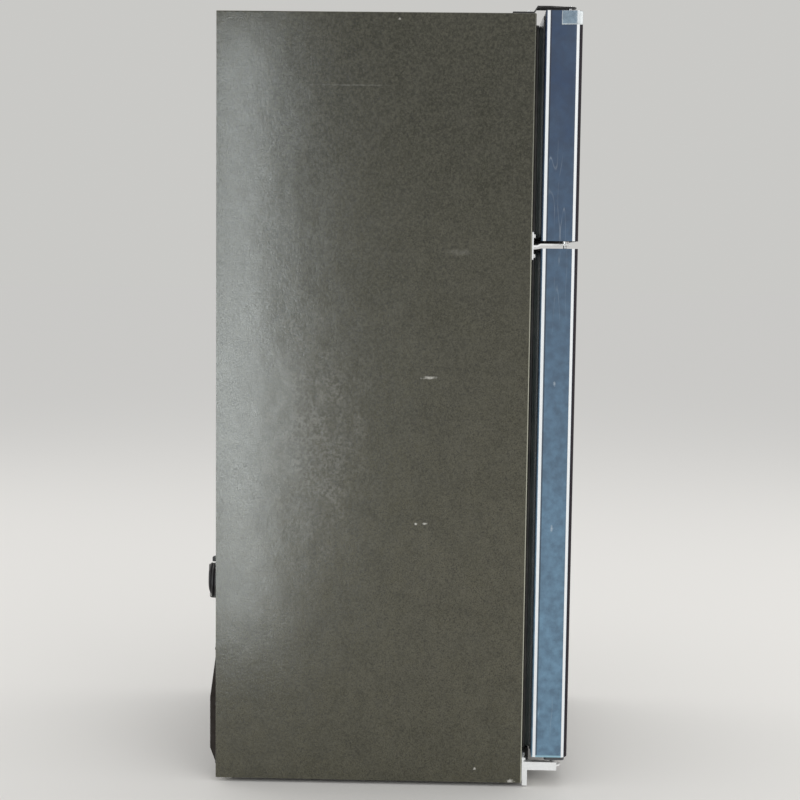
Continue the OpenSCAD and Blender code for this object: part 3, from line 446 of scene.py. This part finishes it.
# Place (Y, Z), half size (Y, Z), grain and strength of each scuff on the hinge side
CABINET_MARKS = [
    ((0.08, 1.519), (0.17, 0.004), 90.0, 0.1),
    ((-0.148, 1.17), (0.05, 0.014), 70.0, 0.1),
    ((-0.089, 0.9), (0.03, 0.006), 120.0, 0.7),
    ((-0.064, 0.582), (0.006, 0.005), 150.0, 0.9),
    ((-0.084, 0.583), (0.011, 0.004), 150.0, 0.8),
    ((-0.016, 1.657), (0.006, 0.005), 150.0, 0.9),
    ((-0.2, 0.039), (0.006, 0.006), 150.0, 0.9),
    ((-0.28, 0.013), (0.018, 0.007), 120.0, 0.9),
]


def door_paint():
    """Grey metallic sheet: blue sides, brushed front, a painted reflection that darkens the sides towards
    the top, and painted highlights and painted shade along its bends.
    """
    steel = Finish("door_paint", (0.027, 0.056, 0.122), 0.45, 0.15)
    tree = steel.tree
    where = split(tree, object_place(tree))
    # Painted reflection: the blue sides lighter lower down and dark navy towards the top.
    steel.layer(remap(tree, where["Z"], 1.4, 0.45), (0.155, 0.28, 0.4))
    cloud = steel.effect("mottle", Scale=7.0, Contrast=1.4)
    steel.layer(cloud["Cloud"], (0.085, 0.14, 0.2), 0.4, amount=0.35)
    steel.layer(cloud["Fine"], (0.025, 0.038, 0.068), 0.5, amount=0.4)
    scratch = steel.effect("scratches", Stretch=(30.0, 30.0, 4.0), Amount=0.3)
    steel.layer(scratch["Mask"], (0.5, 0.55, 0.6), 0.5)
    for centre_z in (0.891, 0.577):
        rub = steel.effect("mark", Centre=(side_x, -0.358, centre_z), Size=(0.02, 0.006, 0.012),
                           Grain=110.0)
        steel.layer(rub["Mask"], (0.6, 0.66, 0.72), 0.5, amount=0.6)
    facing = split(tree, place(tree, "ShaderNodeTexCoord").outputs["Normal"])
    across = calc(tree, "ABSOLUTE", facing["X"])
    ahead = calc(tree, "MULTIPLY", facing["Y"], -1.0)
    front = remap(tree, ahead, 0.8, 0.95)
    steel.layer(front, (0.42, 0.43, 0.44), 0.34, 0.85)
    line = steel.effect("brushing", Stretch=(1400.0, 900.0, 5.0))["Line"]
    brushed = calc(tree, "MULTIPLY", remap(tree, line, 0.35, 0.65), front)
    steel.layer(brushed, (0.3, 0.31, 0.32), 0.46, amount=0.5)
    side = remap(tree, across, 0.7, 0.8)
    # Painted highlights: bright lines where the front bend and the back edge of each side catch the light.
    bend_highlight_zone = band(tree, across, 0.84, 0.972, 0.006)
    # Painted shade: a dark strip on the part of the front bend that turns away from the light.
    front_bend_shade = calc(tree, "MULTIPLY", band(tree, across, 0.2, 0.81, 0.02),
                     remap(tree, ahead, 0.3, 0.5))
    # Painted highlight: a bright line near the back edge of each side, with a dark band beside it.
    from_edge = calc(tree, "SUBTRACT", where["Y"], door_back_y)
    back_bend_highlight = calc(tree, "MULTIPLY", side, band(tree, from_edge, -8.8 * MM, -3 * MM, 0.4 * MM))
    back_dark = calc(tree, "MULTIPLY", side, band(tree, from_edge, -12.2 * MM, -9.4 * MM, 0.4 * MM))
    # Painted highlight: a blue-white line along the bottom edge of the fresh food door's sides.
    from_foot = calc(tree, "SUBTRACT", where["Z"], fresh_low.z)
    foot_edge_highlight = calc(tree, "MULTIPLY", side, remap(tree, from_foot, 5 * MM, 3 * MM))
    front_bend_highlight = calc(tree, "MULTIPLY", bend_highlight_zone, remap(tree, ahead, 0.05, 0.15))
    steel.layer(back_dark, (0.022, 0.02, 0.03), 0.4, amount=0.6)
    steel.layer(foot_edge_highlight, (0.3, 0.5, 0.6), 0.3)
    # Painted highlights in near white on the back edge and the front bend.
    steel.layer(calc(tree, "MAXIMUM", back_bend_highlight, front_bend_highlight), (0.88, 0.9, 0.91), 0.3, 0.0)
    # Painted shade on the front bend.
    steel.layer(front_bend_shade, (0.008, 0.003, 0.009), 0.85, 0.0)
    steel.relief(line, 0.00004, 0.5)
    steel.relief(steel.effect("pebble", Scale=260.0)["Height"], 0.00012, 0.4)
    return steel.done()


def moulded(name, colour, roughness, grain=900.0, depth=0.00012, dust=0.25, film=0.06, wear=0.0,
            **plain):
    """Moulded plastic: grain, faint flow clouds, dust and, where it is handled, pale edges."""
    plastic = Finish(name, colour, roughness, **plain)
    cloud = plastic.effect("mottle", Scale=9.0, Contrast=1.0)
    plastic.layer(cloud["Cloud"], scaled(colour, 0.86), roughness * 0.85, amount=0.25)
    plastic.layer(cloud["Fine"], mixed(colour, 0.12, (0.9, 0.9, 0.9)), min(roughness * 1.2, 1.0),
                  amount=0.15)
    plastic.layer(plastic.effect("dust", Amount=dust, Film=film)["Mask"], DUST, 0.85)
    if wear:
        plastic.layer(plastic.effect("edge_wear", Width=0.0015, Amount=wear)["Mask"],
                      mixed(colour, 0.35, (0.8, 0.8, 0.8)), 0.5)
    plastic.relief(plastic.effect("pebble", Scale=grain)["Height"], depth, 0.5)
    return plastic.done()


def sheet_metal(name, colour, roughness, flake=90.0, contrast=0.3, wear=0.4, metallic=1.0):
    """Zinc-coated steel: crystal flakes, roll lines, hair scratches and dull dust."""
    metal = Finish(name, colour, roughness, metallic)
    tone = metal.effect("spangle", Scale=flake)["Tone"]
    metal.layer(tone, scaled(colour, 0.62), roughness * 1.25, amount=contrast)
    cloud = metal.effect("mottle", Scale=8.0, Contrast=1.2)
    metal.layer(cloud["Cloud"], mixed(colour, 0.3, (0.5, 0.46, 0.38)), roughness * 1.3, amount=0.35)
    metal.layer(metal.effect("scratches", Stretch=(60.0, 60.0, 6.0), Amount=0.5)["Mask"],
                mixed(colour, 0.6, (0.9, 0.9, 0.9)), 0.2)
    metal.layer(metal.effect("edge_wear", Width=0.0012, Amount=wear)["Mask"],
                (0.75, 0.75, 0.74), 0.22)
    metal.layer(metal.effect("dust", Amount=0.3, Film=0.08)["Mask"], DUST, 0.85, 0.0)
    metal.relief(metal.effect("brushing", Stretch=(500.0, 500.0, 8.0))["Line"], 0.00003, 0.5)
    metal.relief(cloud["Fine"], 0.0002, 0.25)
    return metal.done()


def dark_metal(name, colour, roughness, wear_colour):
    """Black baked or dipped paint, chipped to the metal along its edges."""
    paint = Finish(name, colour, roughness, Specular_IOR_Level=0.3)
    cloud = paint.effect("mottle", Scale=14.0, Contrast=1.2)
    paint.layer(cloud["Cloud"], scaled(colour, 2.2), roughness * 1.3, amount=0.5)
    paint.layer(paint.effect("dust", Amount=0.4, Film=0.04)["Mask"], DUST, 0.9)
    paint.layer(paint.effect("edge_wear", Width=0.0012, Amount=0.7)["Mask"], wear_colour, 0.35, 0.8)
    paint.relief(paint.effect("pebble", Scale=420.0)["Height"], 0.0002, 0.4)
    return paint.done()


def foam():
    """Cut and poured polyurethane foam with open cells."""
    cells = Finish("insulation_foam", (0.5, 0.42, 0.25), 0.9)
    cloud = cells.effect("mottle", Scale=20.0, Contrast=1.3)
    cells.layer(cloud["Cloud"], (0.55, 0.42, 0.2), amount=0.5)
    pores = cells.effect("pebble", Scale=900.0)
    cells.layer(pores["Pit"], (0.4, 0.3, 0.14), amount=0.5)
    cells.relief(pores["Height"], 0.0008, 0.8)
    return cells.done()


def clear_plastic(name, colour, roughness):
    """Clear moulded polystyrene: faintly blue, with flow haze and rubbed corners."""
    clear = Finish(name, colour, roughness, Transmission_Weight=0.92, IOR=1.49)
    cloud = clear.effect("mottle", Scale=10.0, Contrast=1.0)
    clear.layer(cloud["Cloud"], scaled(colour, 0.94), roughness * 1.8, amount=0.4)
    scratch = clear.effect("scratches", Stretch=(50.0, 50.0, 12.0), Amount=0.4)
    clear.layer(scratch["Mask"], (0.95, 0.97, 0.98), 0.4)
    clear.relief(cloud["Fine"], 0.0004, 0.15)
    return clear.done()


def shelf_glass():
    """Tempered glass with a green cast."""
    glass = Finish("shelf_glass", (0.82, 0.93, 0.9), 0.02, Transmission_Weight=1.0, IOR=1.52)
    cloud = glass.effect("mottle", Scale=7.0, Contrast=1.0)
    glass.layer(cloud["Cloud"], (0.78, 0.9, 0.86), 0.06, amount=0.5)
    glass.relief(cloud["Fine"], 0.0002, 0.08)
    return glass.done()


def vinyl(name, colour, roughness, film=0.1):
    """Soft vinyl: a dull skin, dust in its folds and a faint shine where it is rubbed."""
    skin = Finish(name, colour, roughness, Specular_IOR_Level=0.35)
    cloud = skin.effect("mottle", Scale=25.0, Contrast=1.1)
    skin.layer(cloud["Cloud"], mixed(colour, 0.08, (0.7, 0.75, 0.72)), roughness * 0.8, amount=0.45)
    skin.layer(skin.effect("dust", Amount=0.35, Film=film)["Mask"], DUST, 0.9)
    skin.relief(skin.effect("pebble", Scale=1100.0)["Height"], 0.0001, 0.5)
    return skin.done()


def gasket_vinyl():
    """Dark vinyl: painted light makes a green-grey band where its folds stand on the door, and the rest
    stays black along its magnet bar, as the shade of the gap.
    """
    skin = Finish("gasket_vinyl", (0.01, 0.01, 0.011), 0.5)
    tree = skin.tree
    from_face = calc(tree, "SUBTRACT", split(tree, object_place(tree))["Y"], face_y)
    # Painted light: a green-grey band where the folds next to the door catch the light; the black rest
    # stands for the shade in the gap.
    painted_lit_band = band(tree, from_face, -16.5 * MM, -9 * MM, MM)
    cloud = skin.effect("mottle", Scale=16.0, Contrast=1.4)
    skin.layer(painted_lit_band, (0.03, 0.046, 0.045), 0.5)
    skin.layer(cloud["Cloud"], (0.014, 0.017, 0.017), 0.4, amount=0.5)
    skin.layer(skin.effect("dust", Amount=0.35, Film=0.1)["Mask"], DUST, 0.9)
    skin.relief(skin.effect("pebble", Scale=1100.0)["Height"], 0.0001, 0.5)
    return skin.done()


def thin_fins():
    """Rolled aluminium fins, dulled by dust."""
    fins = Finish("aluminium_fins", (0.62, 0.64, 0.66), 0.35, 1.0)
    cloud = fins.effect("mottle", Scale=18.0, Contrast=1.2)
    fins.layer(cloud["Cloud"], (0.45, 0.46, 0.47), 0.55, amount=0.4)
    fins.layer(fins.effect("dust", Amount=0.3, Film=0.1)["Mask"], DUST, 0.9, 0.0)
    fins.relief(fins.effect("brushing", Stretch=(700.0, 20.0, 700.0))["Line"], 0.00004, 0.5)
    return fins.done()


def tape_film():
    """Clear film: milky glue with trapped air, whiter along its free edges and over the bend."""
    film = Finish("tape_film", (0.2, 0.29, 0.37), 0.3, Coat_Weight=0.4)
    tree = film.tree
    cloud = film.effect("mottle", Scale=60.0, Contrast=1.6)
    film.layer(cloud["Cloud"], (0.13, 0.19, 0.26), 0.4, amount=0.6)
    film.layer(cloud["Fine"], (0.42, 0.5, 0.56), amount=0.3)
    where = split(tree, object_place(tree))
    below_top = calc(tree, "SUBTRACT", door_high.z, where["Z"])
    behind_front = calc(tree, "SUBTRACT", where["Y"], door_low.y)
    lower_rim = remap(tree, below_top, 26.2 * MM, 27.5 * MM)
    inner_rim = remap(tree, behind_front, 43.6 * MM, 44.6 * MM)
    over_bend = remap(tree, behind_front, 14.5 * MM, 12.5 * MM)
    rim = calc(tree, "MAXIMUM", calc(tree, "MULTIPLY", lower_rim, 0.6),
               calc(tree, "MULTIPLY", inner_rim, 0.5))
    film.layer(calc(tree, "MAXIMUM", rim, over_bend), (0.8, 0.85, 0.87), 0.35)
    film.relief(cloud["Cloud"], 0.0006, 0.5)
    tree.links.new(remap(tree, cloud["Cloud"], 0.0, 1.0, 0.95, 0.8), film.shader.inputs["Alpha"])
    return film.done()


finishes = {
    "cabinet_paint": cabinet_paint(),
    "door_paint": door_paint(),
    "zinc_sheet": sheet_metal("zinc_sheet", (0.44, 0.45, 0.46), 0.42),
    "zinc_plate": sheet_metal("zinc_plate", (0.93, 0.94, 0.94), 0.35, flake=300.0, contrast=0.15,
                              wear=0.8, metallic=0.15),
    "pin_steel": sheet_metal("pin_steel", (0.6, 0.6, 0.61), 0.24, flake=500.0, contrast=0.12,
                             wear=0.8),
    "aluminium_fins": thin_fins(),
    "foam": foam(),
    "liner_plastic": moulded("liner_plastic", (0.74, 0.76, 0.76), 0.32, grain=500.0, dust=0.05, film=0.02),
    "white_plastic": moulded("white_plastic", (0.76, 0.77, 0.77), 0.38, dust=0.08, film=0.02),
    "fan_plastic": moulded("fan_plastic", (0.5, 0.52, 0.54), 0.45, dust=0.5, film=0.15),
    "grey_plastic": moulded("grey_plastic", (0.26, 0.32, 0.36), 0.45),
    # Near-black board whose dark colour also stands for painted shade on its side, and whose pale worn
    # edges are partly a painted edge highlight.
    "cover_board": moulded("cover_board", (0.02, 0.014, 0.011), 0.8, grain=350.0, depth=0.0003,
                           film=0.03, wear=0.9, Specular_IOR_Level=0.12),
    "dark_plastic": moulded("dark_plastic", (0.009, 0.009, 0.01), 0.5, dust=0.3, film=0.03,
                            wear=0.4, Specular_IOR_Level=0.3),
    "cap_plastic": moulded("cap_plastic", (0.06, 0.065, 0.072), 0.45, dust=0.4, wear=0.5),
    "roller_nylon": moulded("roller_nylon", (0.55, 0.54, 0.49), 0.5, dust=0.5, film=0.2, wear=0.3),
    "frosted_lens": moulded("frosted_lens", (0.82, 0.82, 0.78), 0.3, dust=0.05, film=0.02,
                            Transmission_Weight=0.5),
    "white_wire": moulded("white_wire", (0.74, 0.75, 0.75), 0.35, grain=700.0, dust=0.06,
                          film=0.02, wear=0.3),
    "black_steel": dark_metal("black_steel", (0.008, 0.008, 0.009), 0.4, (0.4, 0.4, 0.4)),
    "compressor_paint": dark_metal("compressor_paint", (0.008, 0.008, 0.009), 0.35,
                                   (0.35, 0.33, 0.3)),
    "shelf_glass": shelf_glass(),
    "clear_plastic": clear_plastic("clear_plastic", (0.86, 0.92, 0.94), 0.08),
    "black_rubber": vinyl("black_rubber", (0.012, 0.012, 0.013), 0.7),
    "gasket_vinyl": gasket_vinyl(),
    "cord_vinyl": vinyl("cord_vinyl", (0.008, 0.005, 0.007), 0.45, film=0.03),
    "tape_film": tape_film(),
}

for subpart in frame["record"]["subparts"]:
    node = frame["nodes"][subpart["node"]]
    node.data.materials.clear()
    node.data.materials.append(finishes[subpart["material_slot"]])


# ---- Fine pieces ----

def add_piece(name, shape, body, slot, smooth_angle=35):
    """Turns a bmesh into a piece that rides on a body and takes the finish of that name."""
    mesh = bpy.data.meshes.new(name)
    bmesh.ops.recalc_face_normals(shape, faces=shape.faces)
    shape.to_mesh(mesh)
    shape.free()
    mesh.materials.append(finishes[slot])
    mesh.shade_smooth()
    mesh.set_sharp_from_angle(angle=math.radians(smooth_angle))
    piece = bpy.data.objects.new(name, mesh)
    bpy.context.collection.objects.link(piece)
    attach(piece, body)
    return piece


def join_rings(shape, rings, closed=False):
    """Faces between rings of points, capped at both ends unless the last ring meets the first."""
    loops = [[shape.verts.new(point) for point in ring] for ring in rings]
    pairs = list(zip(loops, loops[1:]))
    if closed:
        pairs.append((loops[-1], loops[0]))
    for a, b in pairs:
        count = len(a)
        for k in range(count):
            shape.faces.new((a[k], a[(k + 1) % count], b[(k + 1) % count], b[k]))
    if not closed:
        shape.faces.new(loops[0])
        shape.faces.new(loops[-1])


def turned_rings(profile, origin, axis, steps=32):
    """Rings of a turned piece: profile holds (radius, distance along the axis)."""
    axis = Vector(axis).normalized()
    side = axis.orthogonal().normalized()
    across = axis.cross(side)
    rings = []
    for radius, along in profile:
        centre = Vector(origin) + axis * along
        rings.append([centre + radius * (side * math.cos(a) + across * math.sin(a))
                      for a in (2 * math.pi * k / steps for k in range(steps))])
    return rings


def box_between(shape, low, high):
    """Adds a box to the shape, and gives back its corners."""
    corners = bmesh.ops.create_cube(shape, size=1.0)["verts"]
    low, high = Vector(low), Vector(high)
    for vert in corners:
        vert.co = (low + high) / 2 + vert.co * (high - low)
    return corners


def round_frame_path(low, high, radius):
    """Outline of a rounded rectangle in the XZ plane: points with their outward directions."""
    corner_steps = 6
    path = []
    centres = [(high[0] - radius, high[1] - radius, 0), (low[0] + radius, high[1] - radius, 90),
               (low[0] + radius, low[1] + radius, 180), (high[0] - radius, low[1] + radius, 270)]
    for x, z, start in centres:
        for k in range(corner_steps + 1):
            angle = math.radians(start + 90 * k / corner_steps)
            outward = Vector((math.cos(angle), 0, math.sin(angle)))
            path.append((Vector((x, 0, z)) + outward * radius, outward))
    return path


# Section of the gasket: distance in from its outer edge, and height over the door, in millimetres
GASKET_SECTION = [
    (1.6, 0.0), (1.6, 2.2), (2.4, 2.9), (3.4, 3.4), (3.5, 4.2), (1.9, 5.4), (1.8, 6.4),
    (3.4, 7.6), (3.3, 8.6), (1.4, 9.8), (0.4, 10.8), (0.0, 12.0), (0.0, 15.8), (0.9, 16.8),
    (7.6, 16.8), (8.0, 16.4), (8.4, 16.8), (15.1, 16.8), (16.0, 15.8), (16.0, 12.2),
    (15.4, 11.2), (13.4, 10.4), (10.0, 9.4), (9.8, 8.4), (12.8, 7.0), (12.6, 6.0), (9.8, 4.4),
    (10.2, 3.6), (13.2, 3.0), (14.0, 2.4), (14.0, 0.0),
]


# Section of the bead on the door's inner plate, in the same way; it stands outside that plate
BEAD_SECTION = [(-0.1, 0.2), (-1.3, 0.2), (-1.6, 0.6), (-1.6, 1.9), (-1.3, 2.4), (-0.1, 2.4)]


def sweep_round(box, corner, section):
    """Closed sweep of a section round the rounded outline of a box, standing on its front face."""
    low, high = box
    rings = []
    for point, outward in round_frame_path((low.x, low.z), (high.x, high.z), corner):
        rings.append([Vector((point.x, low.y + height * MM, point.z)) - outward * (inward * MM)
                      for inward, height in section])
    shape = bmesh.new()
    join_rings(shape, rings, closed=True)
    return shape


def make_gasket(door):
    """Bellows gasket, swept round the door's edge, with a groove along its magnet bar."""
    node = f"{door}_gasket"
    shape = sweep_round(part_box(node), 17 * MM, GASKET_SECTION)
    gasket = add_piece(f"{door}_seal", shape, door, "gasket_vinyl", 50)
    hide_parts(node)


def make_liner_bead(door):
    """Vinyl bead pressed round the edge of the door's inner plate."""
    shape = sweep_round(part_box(f"{door}_liner"), 12 * MM, BEAD_SECTION)
    add_piece(f"{door}_liner_bead", shape, door, "gasket_vinyl", 50)


def hex_screw(shape, at, head):
    """Hexagon washer-head screw that faces the rear; head is its height in millimetres."""
    across, washer = 6.4, 4.6
    disc = [(washer, 0), (washer, 0.5), (washer * 0.84, 1.1)]
    half = across / 2 / math.cos(math.radians(30))
    hexagon = [(half, 0.4), (half, head - 0.7), (half * 0.9, head), (half * 0.62, head),
               (half * 0.52, head - 0.5)]
    for section, steps in ((disc, 32), (hexagon, 6)):
        profile = [(radius * MM, z * MM) for radius, z in section]
        join_rings(shape, turned_rings(profile, at, (0, 1, 0), steps))


def spaced(first, last, count):
    """Evenly spaced values from the first to the last."""
    return [first + k * (last - first) / (count - 1) for k in range(count)]


def make_rear_screws():
    """Screws round the back panel, and black ones in the flange of the machine cover."""
    panel_low, panel_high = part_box("back_panel")
    cover_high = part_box("machine_cover")[1]
    shape = bmesh.new()
    inset = 30 * MM
    for x in (panel_low.x + inset, panel_high.x - inset):
        for z in spaced(panel_low.z + 60 * MM, panel_high.z - inset, 6):
            hex_screw(shape, (x, back_y, z), head=2.6)
    for x in spaced(panel_low.x + 110 * MM, panel_high.x - 110 * MM, 4):
        hex_screw(shape, (x, back_y, panel_high.z - inset), head=2.6)
    add_piece("panel_screws", shape, "cabinet", "zinc_plate")
    shape = bmesh.new()
    cover_back = back_y + 1.2 * MM
    for side in (-1, 1):
        for z in (40 * MM, 170 * MM, 296 * MM):
            hex_screw(shape, (side * (cover_high.x - 6 * MM), cover_back, z), head=1.8)
    add_piece("cover_screws", shape, "cabinet", "black_steel")


def make_tape():
    """Clear packing tape left on the freezer door's top corner, wrapped into the front bend."""
    lift = 0.2 * MM
    bend = 18 * MM
    top = door_high.z - 0.5 * MM
    bottom = top - 29 * MM
    inner = door_low.y + 46 * MM
    bend_y = door_low.y + bend
    plan = [Vector((door_low.x - lift, y, 0)) for y in spaced(inner, bend_y, 11)]
    reach = bend + lift
    for degrees in spaced(9, 72, 8):
        angle = math.radians(degrees)
        plan.append(Vector((door_low.x + bend - reach * math.cos(angle),
                            bend_y - reach * math.sin(angle), 0)))
    chance = random.Random(7)
    shape = bmesh.new()
    grid = []
    for i, point in enumerate(plan):
        torn = chance.uniform(-0.5, 0.5) * MM + 1.6 * MM * i / len(plan)
        grid.append([shape.verts.new((point.x, point.y, z)) for z in spaced(bottom + torn, top, 9)])
    for a, b in zip(grid, grid[1:]):
        for k in range(len(a) - 1):
            shape.faces.new((a[k], b[k], b[k + 1], a[k + 1]))
    tape = add_piece("packing_tape", shape, "freezer_door", "tape_film")
    thick = tape.modifiers.new("thickness", "SOLIDIFY")
    thick.thickness = 0.1 * MM
    thick.offset = 0


def make_strain_relief():
    """Ribbed sleeve that the cord leaves the cover through."""
    low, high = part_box("cord_gland")
    tall = high.z - low.z
    profile = [(3.3 * MM, 0), (5.5 * MM, 0), (5.5 * MM, 2.6 * MM), (4.9 * MM, 3.2 * MM)]
    ribs = 6
    step = (tall - 5 * MM) / ribs
    for k in range(ribs):
        start = 3.6 * MM + k * step
        radius = 5.3 * MM - k * 0.2 * MM
        groove = radius - 0.9 * MM
        profile += [(radius, start), (radius, start + step * 0.5),
                    (groove, start + step * 0.62), (groove, start + step * 0.92)]
    profile += [(3.9 * MM, tall), (3.3 * MM, tall)]
    shape = bmesh.new()
    centre = ((low.x + high.x) / 2, (low.y + high.y) / 2, low.z)
    join_rings(shape, turned_rings(profile, centre, (0, 0, 1)))
    sleeve = add_piece("strain_relief", shape, "cabinet", "black_rubber", 50)
    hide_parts("cord_gland")
    return sleeve


def squared_ring(centre, half_x, half_y, power):
    """Level loop between a circle (power 2) and a rectangle (higher powers)."""
    steps = 32
    ring = []
    for k in range(steps):
        angle = 2 * math.pi * k / steps
        c, s = math.cos(angle), math.sin(angle)
        x = half_x * math.copysign(abs(c) ** (2 / power), c)
        y = half_y * math.copysign(abs(s) ** (2 / power), s)
        ring.append(centre + Vector((x, y, 0)))
    return ring


# Height, half width and half depth in millimetres, and squareness, of each loop of the plug
PLUG_SECTIONS = [
    (0, 4.0, 4.0, 2), (-2, 4.9, 4.9, 2), (-4, 4.3, 4.3, 2), (-6, 5.4, 5.4, 2), (-8, 4.8, 4.8, 2),
    (-10, 6.0, 6.0, 2.2), (-12, 7.0, 6.2, 2.6), (-16, 11.0, 7.8, 3.2), (-20, 12.8, 8.8, 4),
    (-26, 12.9, 8.9, 5), (-27, 12.2, 8.2, 5), (-29, 12.2, 8.2, 5), (-30, 12.9, 8.9, 5),
    (-38, 12.9, 8.9, 5), (-40, 11.8, 7.8, 5),
]


def make_plug():
    """Moulded plug with a ribbed neck, and its two blades and ground pin."""
    shape = bmesh.new()
    join_rings(shape, [squared_ring(PLUG_AT + Vector((0, 0, z)) * MM, a * MM, b * MM, power)
                       for z, a, b, power in PLUG_SECTIONS])
    body = add_piece("plug_body", shape, "cabinet", "cord_vinyl", 60)
    pins = bmesh.new()
    for x in (-6.4, 6.4):
        blade = box_between(pins, PLUG_AT + Vector((x - 0.75, -3.2, -56)) * MM,
                            PLUG_AT + Vector((x + 0.75, 3.2, -39)) * MM)
        edges = {edge for vert in blade for edge in vert.link_edges}
        bmesh.ops.bevel(pins, geom=list(edges), offset=0.35 * MM, segments=2, affect="EDGES")
    tip = [(1.2, -58), (2.0, -57), (2.35, -55.5), (2.35, -39)]
    ground_at = PLUG_AT + Vector((0, 6, 0)) * MM
    join_rings(pins, turned_rings([(r * MM, z * MM) for r, z in tip], ground_at, (0, 0, 1)))
    blades = add_piece("plug_blades", pins, "cabinet", "pin_steel")
    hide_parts("power_plug")
    return body, blades


def make_cord_tie():
    """Plastic tie round the bottom of the coil."""
    centre = COIL_CENTRE + Vector((0, 1.5 * CORD_D, -COIL_R))
    half_y, half_z = 2 * CORD_D + 0.5 * MM, CORD_D + 0.5 * MM
    half_width, half_thick = 2.2 * MM, 0.45 * MM
    side = Vector((half_width, 0, 0))
    shape = bmesh.new()
    rings = []
    steps = 40
    for k in range(steps):
        angle = 2 * math.pi * k / steps
        c, s = math.cos(angle), math.sin(angle)
        at = centre + Vector((0, half_y * math.copysign(abs(c) ** 0.5, c),
                              half_z * math.copysign(abs(s) ** 0.5, s)))
        thick = Vector((0, c, s)) * half_thick
        rings.append([at - side - thick, at + side - thick, at + side + thick, at - side + thick])
    join_rings(shape, rings, closed=True)
    return add_piece("cord_tie", shape, "cabinet", "black_rubber", 40)


for door_name in ("freezer_door", "fresh_door"):
    make_gasket(door_name)
    make_liner_bead(door_name)
make_rear_screws()
make_tape()
sleeve = make_strain_relief()
plug, blades = make_plug()
tie = make_cord_tie()

supply_cord.data.materials.append(finishes["cord_vinyl"])
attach(supply_cord, "cabinet")
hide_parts("power_cord", "power_cord_coil")


# ---- Floor, backdrop and light ----

def make_floor():
    """Plain pale floor, wide enough to meet the backdrop."""
    half = 60.0
    corners = [(-half, -half, 0), (half, -half, 0), (half, half, 0), (-half, half, 0)]
    mesh = bpy.data.meshes.new("floor")
    mesh.from_pydata(corners, [], [(0, 1, 2, 3)])
    floor = bpy.data.objects.new("floor", mesh)
    bpy.context.collection.objects.link(floor)
    pale = Finish("pale_floor", (0.68, 0.66, 0.63), 1.0, Specular_IOR_Level=0.0)
    mesh.materials.append(pale.done())


def make_world():
    """Soft even light, with a pale backdrop where the camera and the reflections see it."""
    world = bpy.data.worlds.new("studio")
    bpy.context.scene.world = world
    world.use_nodes = True
    tree = world.node_tree
    tree.nodes.clear()
    room = place(tree, "ShaderNodeBackground", {"Color": (0.96, 0.98, 1.0), "Strength": 0.9})
    wall = place(tree, "ShaderNodeBackground", {"Color": (0.587, 0.584, 0.566), "Strength": 1.0})
    path = place(tree, "ShaderNodeLightPath").outputs
    seen = calc(tree, "MAXIMUM", path["Is Camera Ray"],
                calc(tree, "MAXIMUM", path["Is Glossy Ray"], path["Is Transmission Ray"]))
    both = place(tree, "ShaderNodeMixShader", {0: seen})
    tree.links.new(room.outputs[0], both.inputs[1])
    tree.links.new(wall.outputs[0], both.inputs[2])
    output = place(tree, "ShaderNodeOutputWorld")
    tree.links.new(both.outputs[0], output.inputs["Surface"])


def add_softbox(name, at, target, size, power, colour, shine_only=False):
    """Area light; with shine_only it shows in glossy paint but lights no floor."""
    data = bpy.data.lights.new(name, "AREA")
    data.shape = "RECTANGLE"
    data.size, data.size_y = size
    data.energy = power
    data.color = colour
    lamp = bpy.data.objects.new(name, data)
    lamp.visible_camera = False
    lamp.visible_diffuse = not shine_only
    bpy.context.collection.objects.link(lamp)
    lamp.location = at
    lamp.rotation_euler = (Vector(target) - Vector(at)).to_track_quat("-Z", "Y").to_euler()


DAYLIGHT = (0.9, 0.98, 1.0)
WARM = (1.0, 0.98, 0.95)
FILL = (3.0, 2.5)
make_floor()
make_world()
# Name, place, target, width and height, watts and colour
add_softbox("side_window", (-4.2, 1.2, 0.5), (side_x, 0.3, 0.7), (0.6, 0.9), 20, DAYLIGHT, True)
add_softbox("side_strip", (-1.5, 0.475, 0.92), (side_x, 0.4, 0.9), (0.12, 1.8), 14, DAYLIGHT, True)
add_softbox("side_fill", (-4.4, -3.0, 2.6), (side_x, 0, 0.9), FILL, 45, (1.0, 1.0, 0.98))
add_softbox("front_fill", (1.6, -5.0, 2.6), (0, face_y, 0.9), FILL, 45, WARM)
add_softbox("rear_fill", (2.0, 5.0, 2.6), (0, back_y, 0.9), FILL, 45, WARM)
add_softbox("ceiling", (0.5, 0.0, 4.6), (0, 0, 1.0), (4.0, 4.0), 45, (1.0, 1.0, 1.0))

bpy.context.scene.view_settings.view_transform = "Standard"
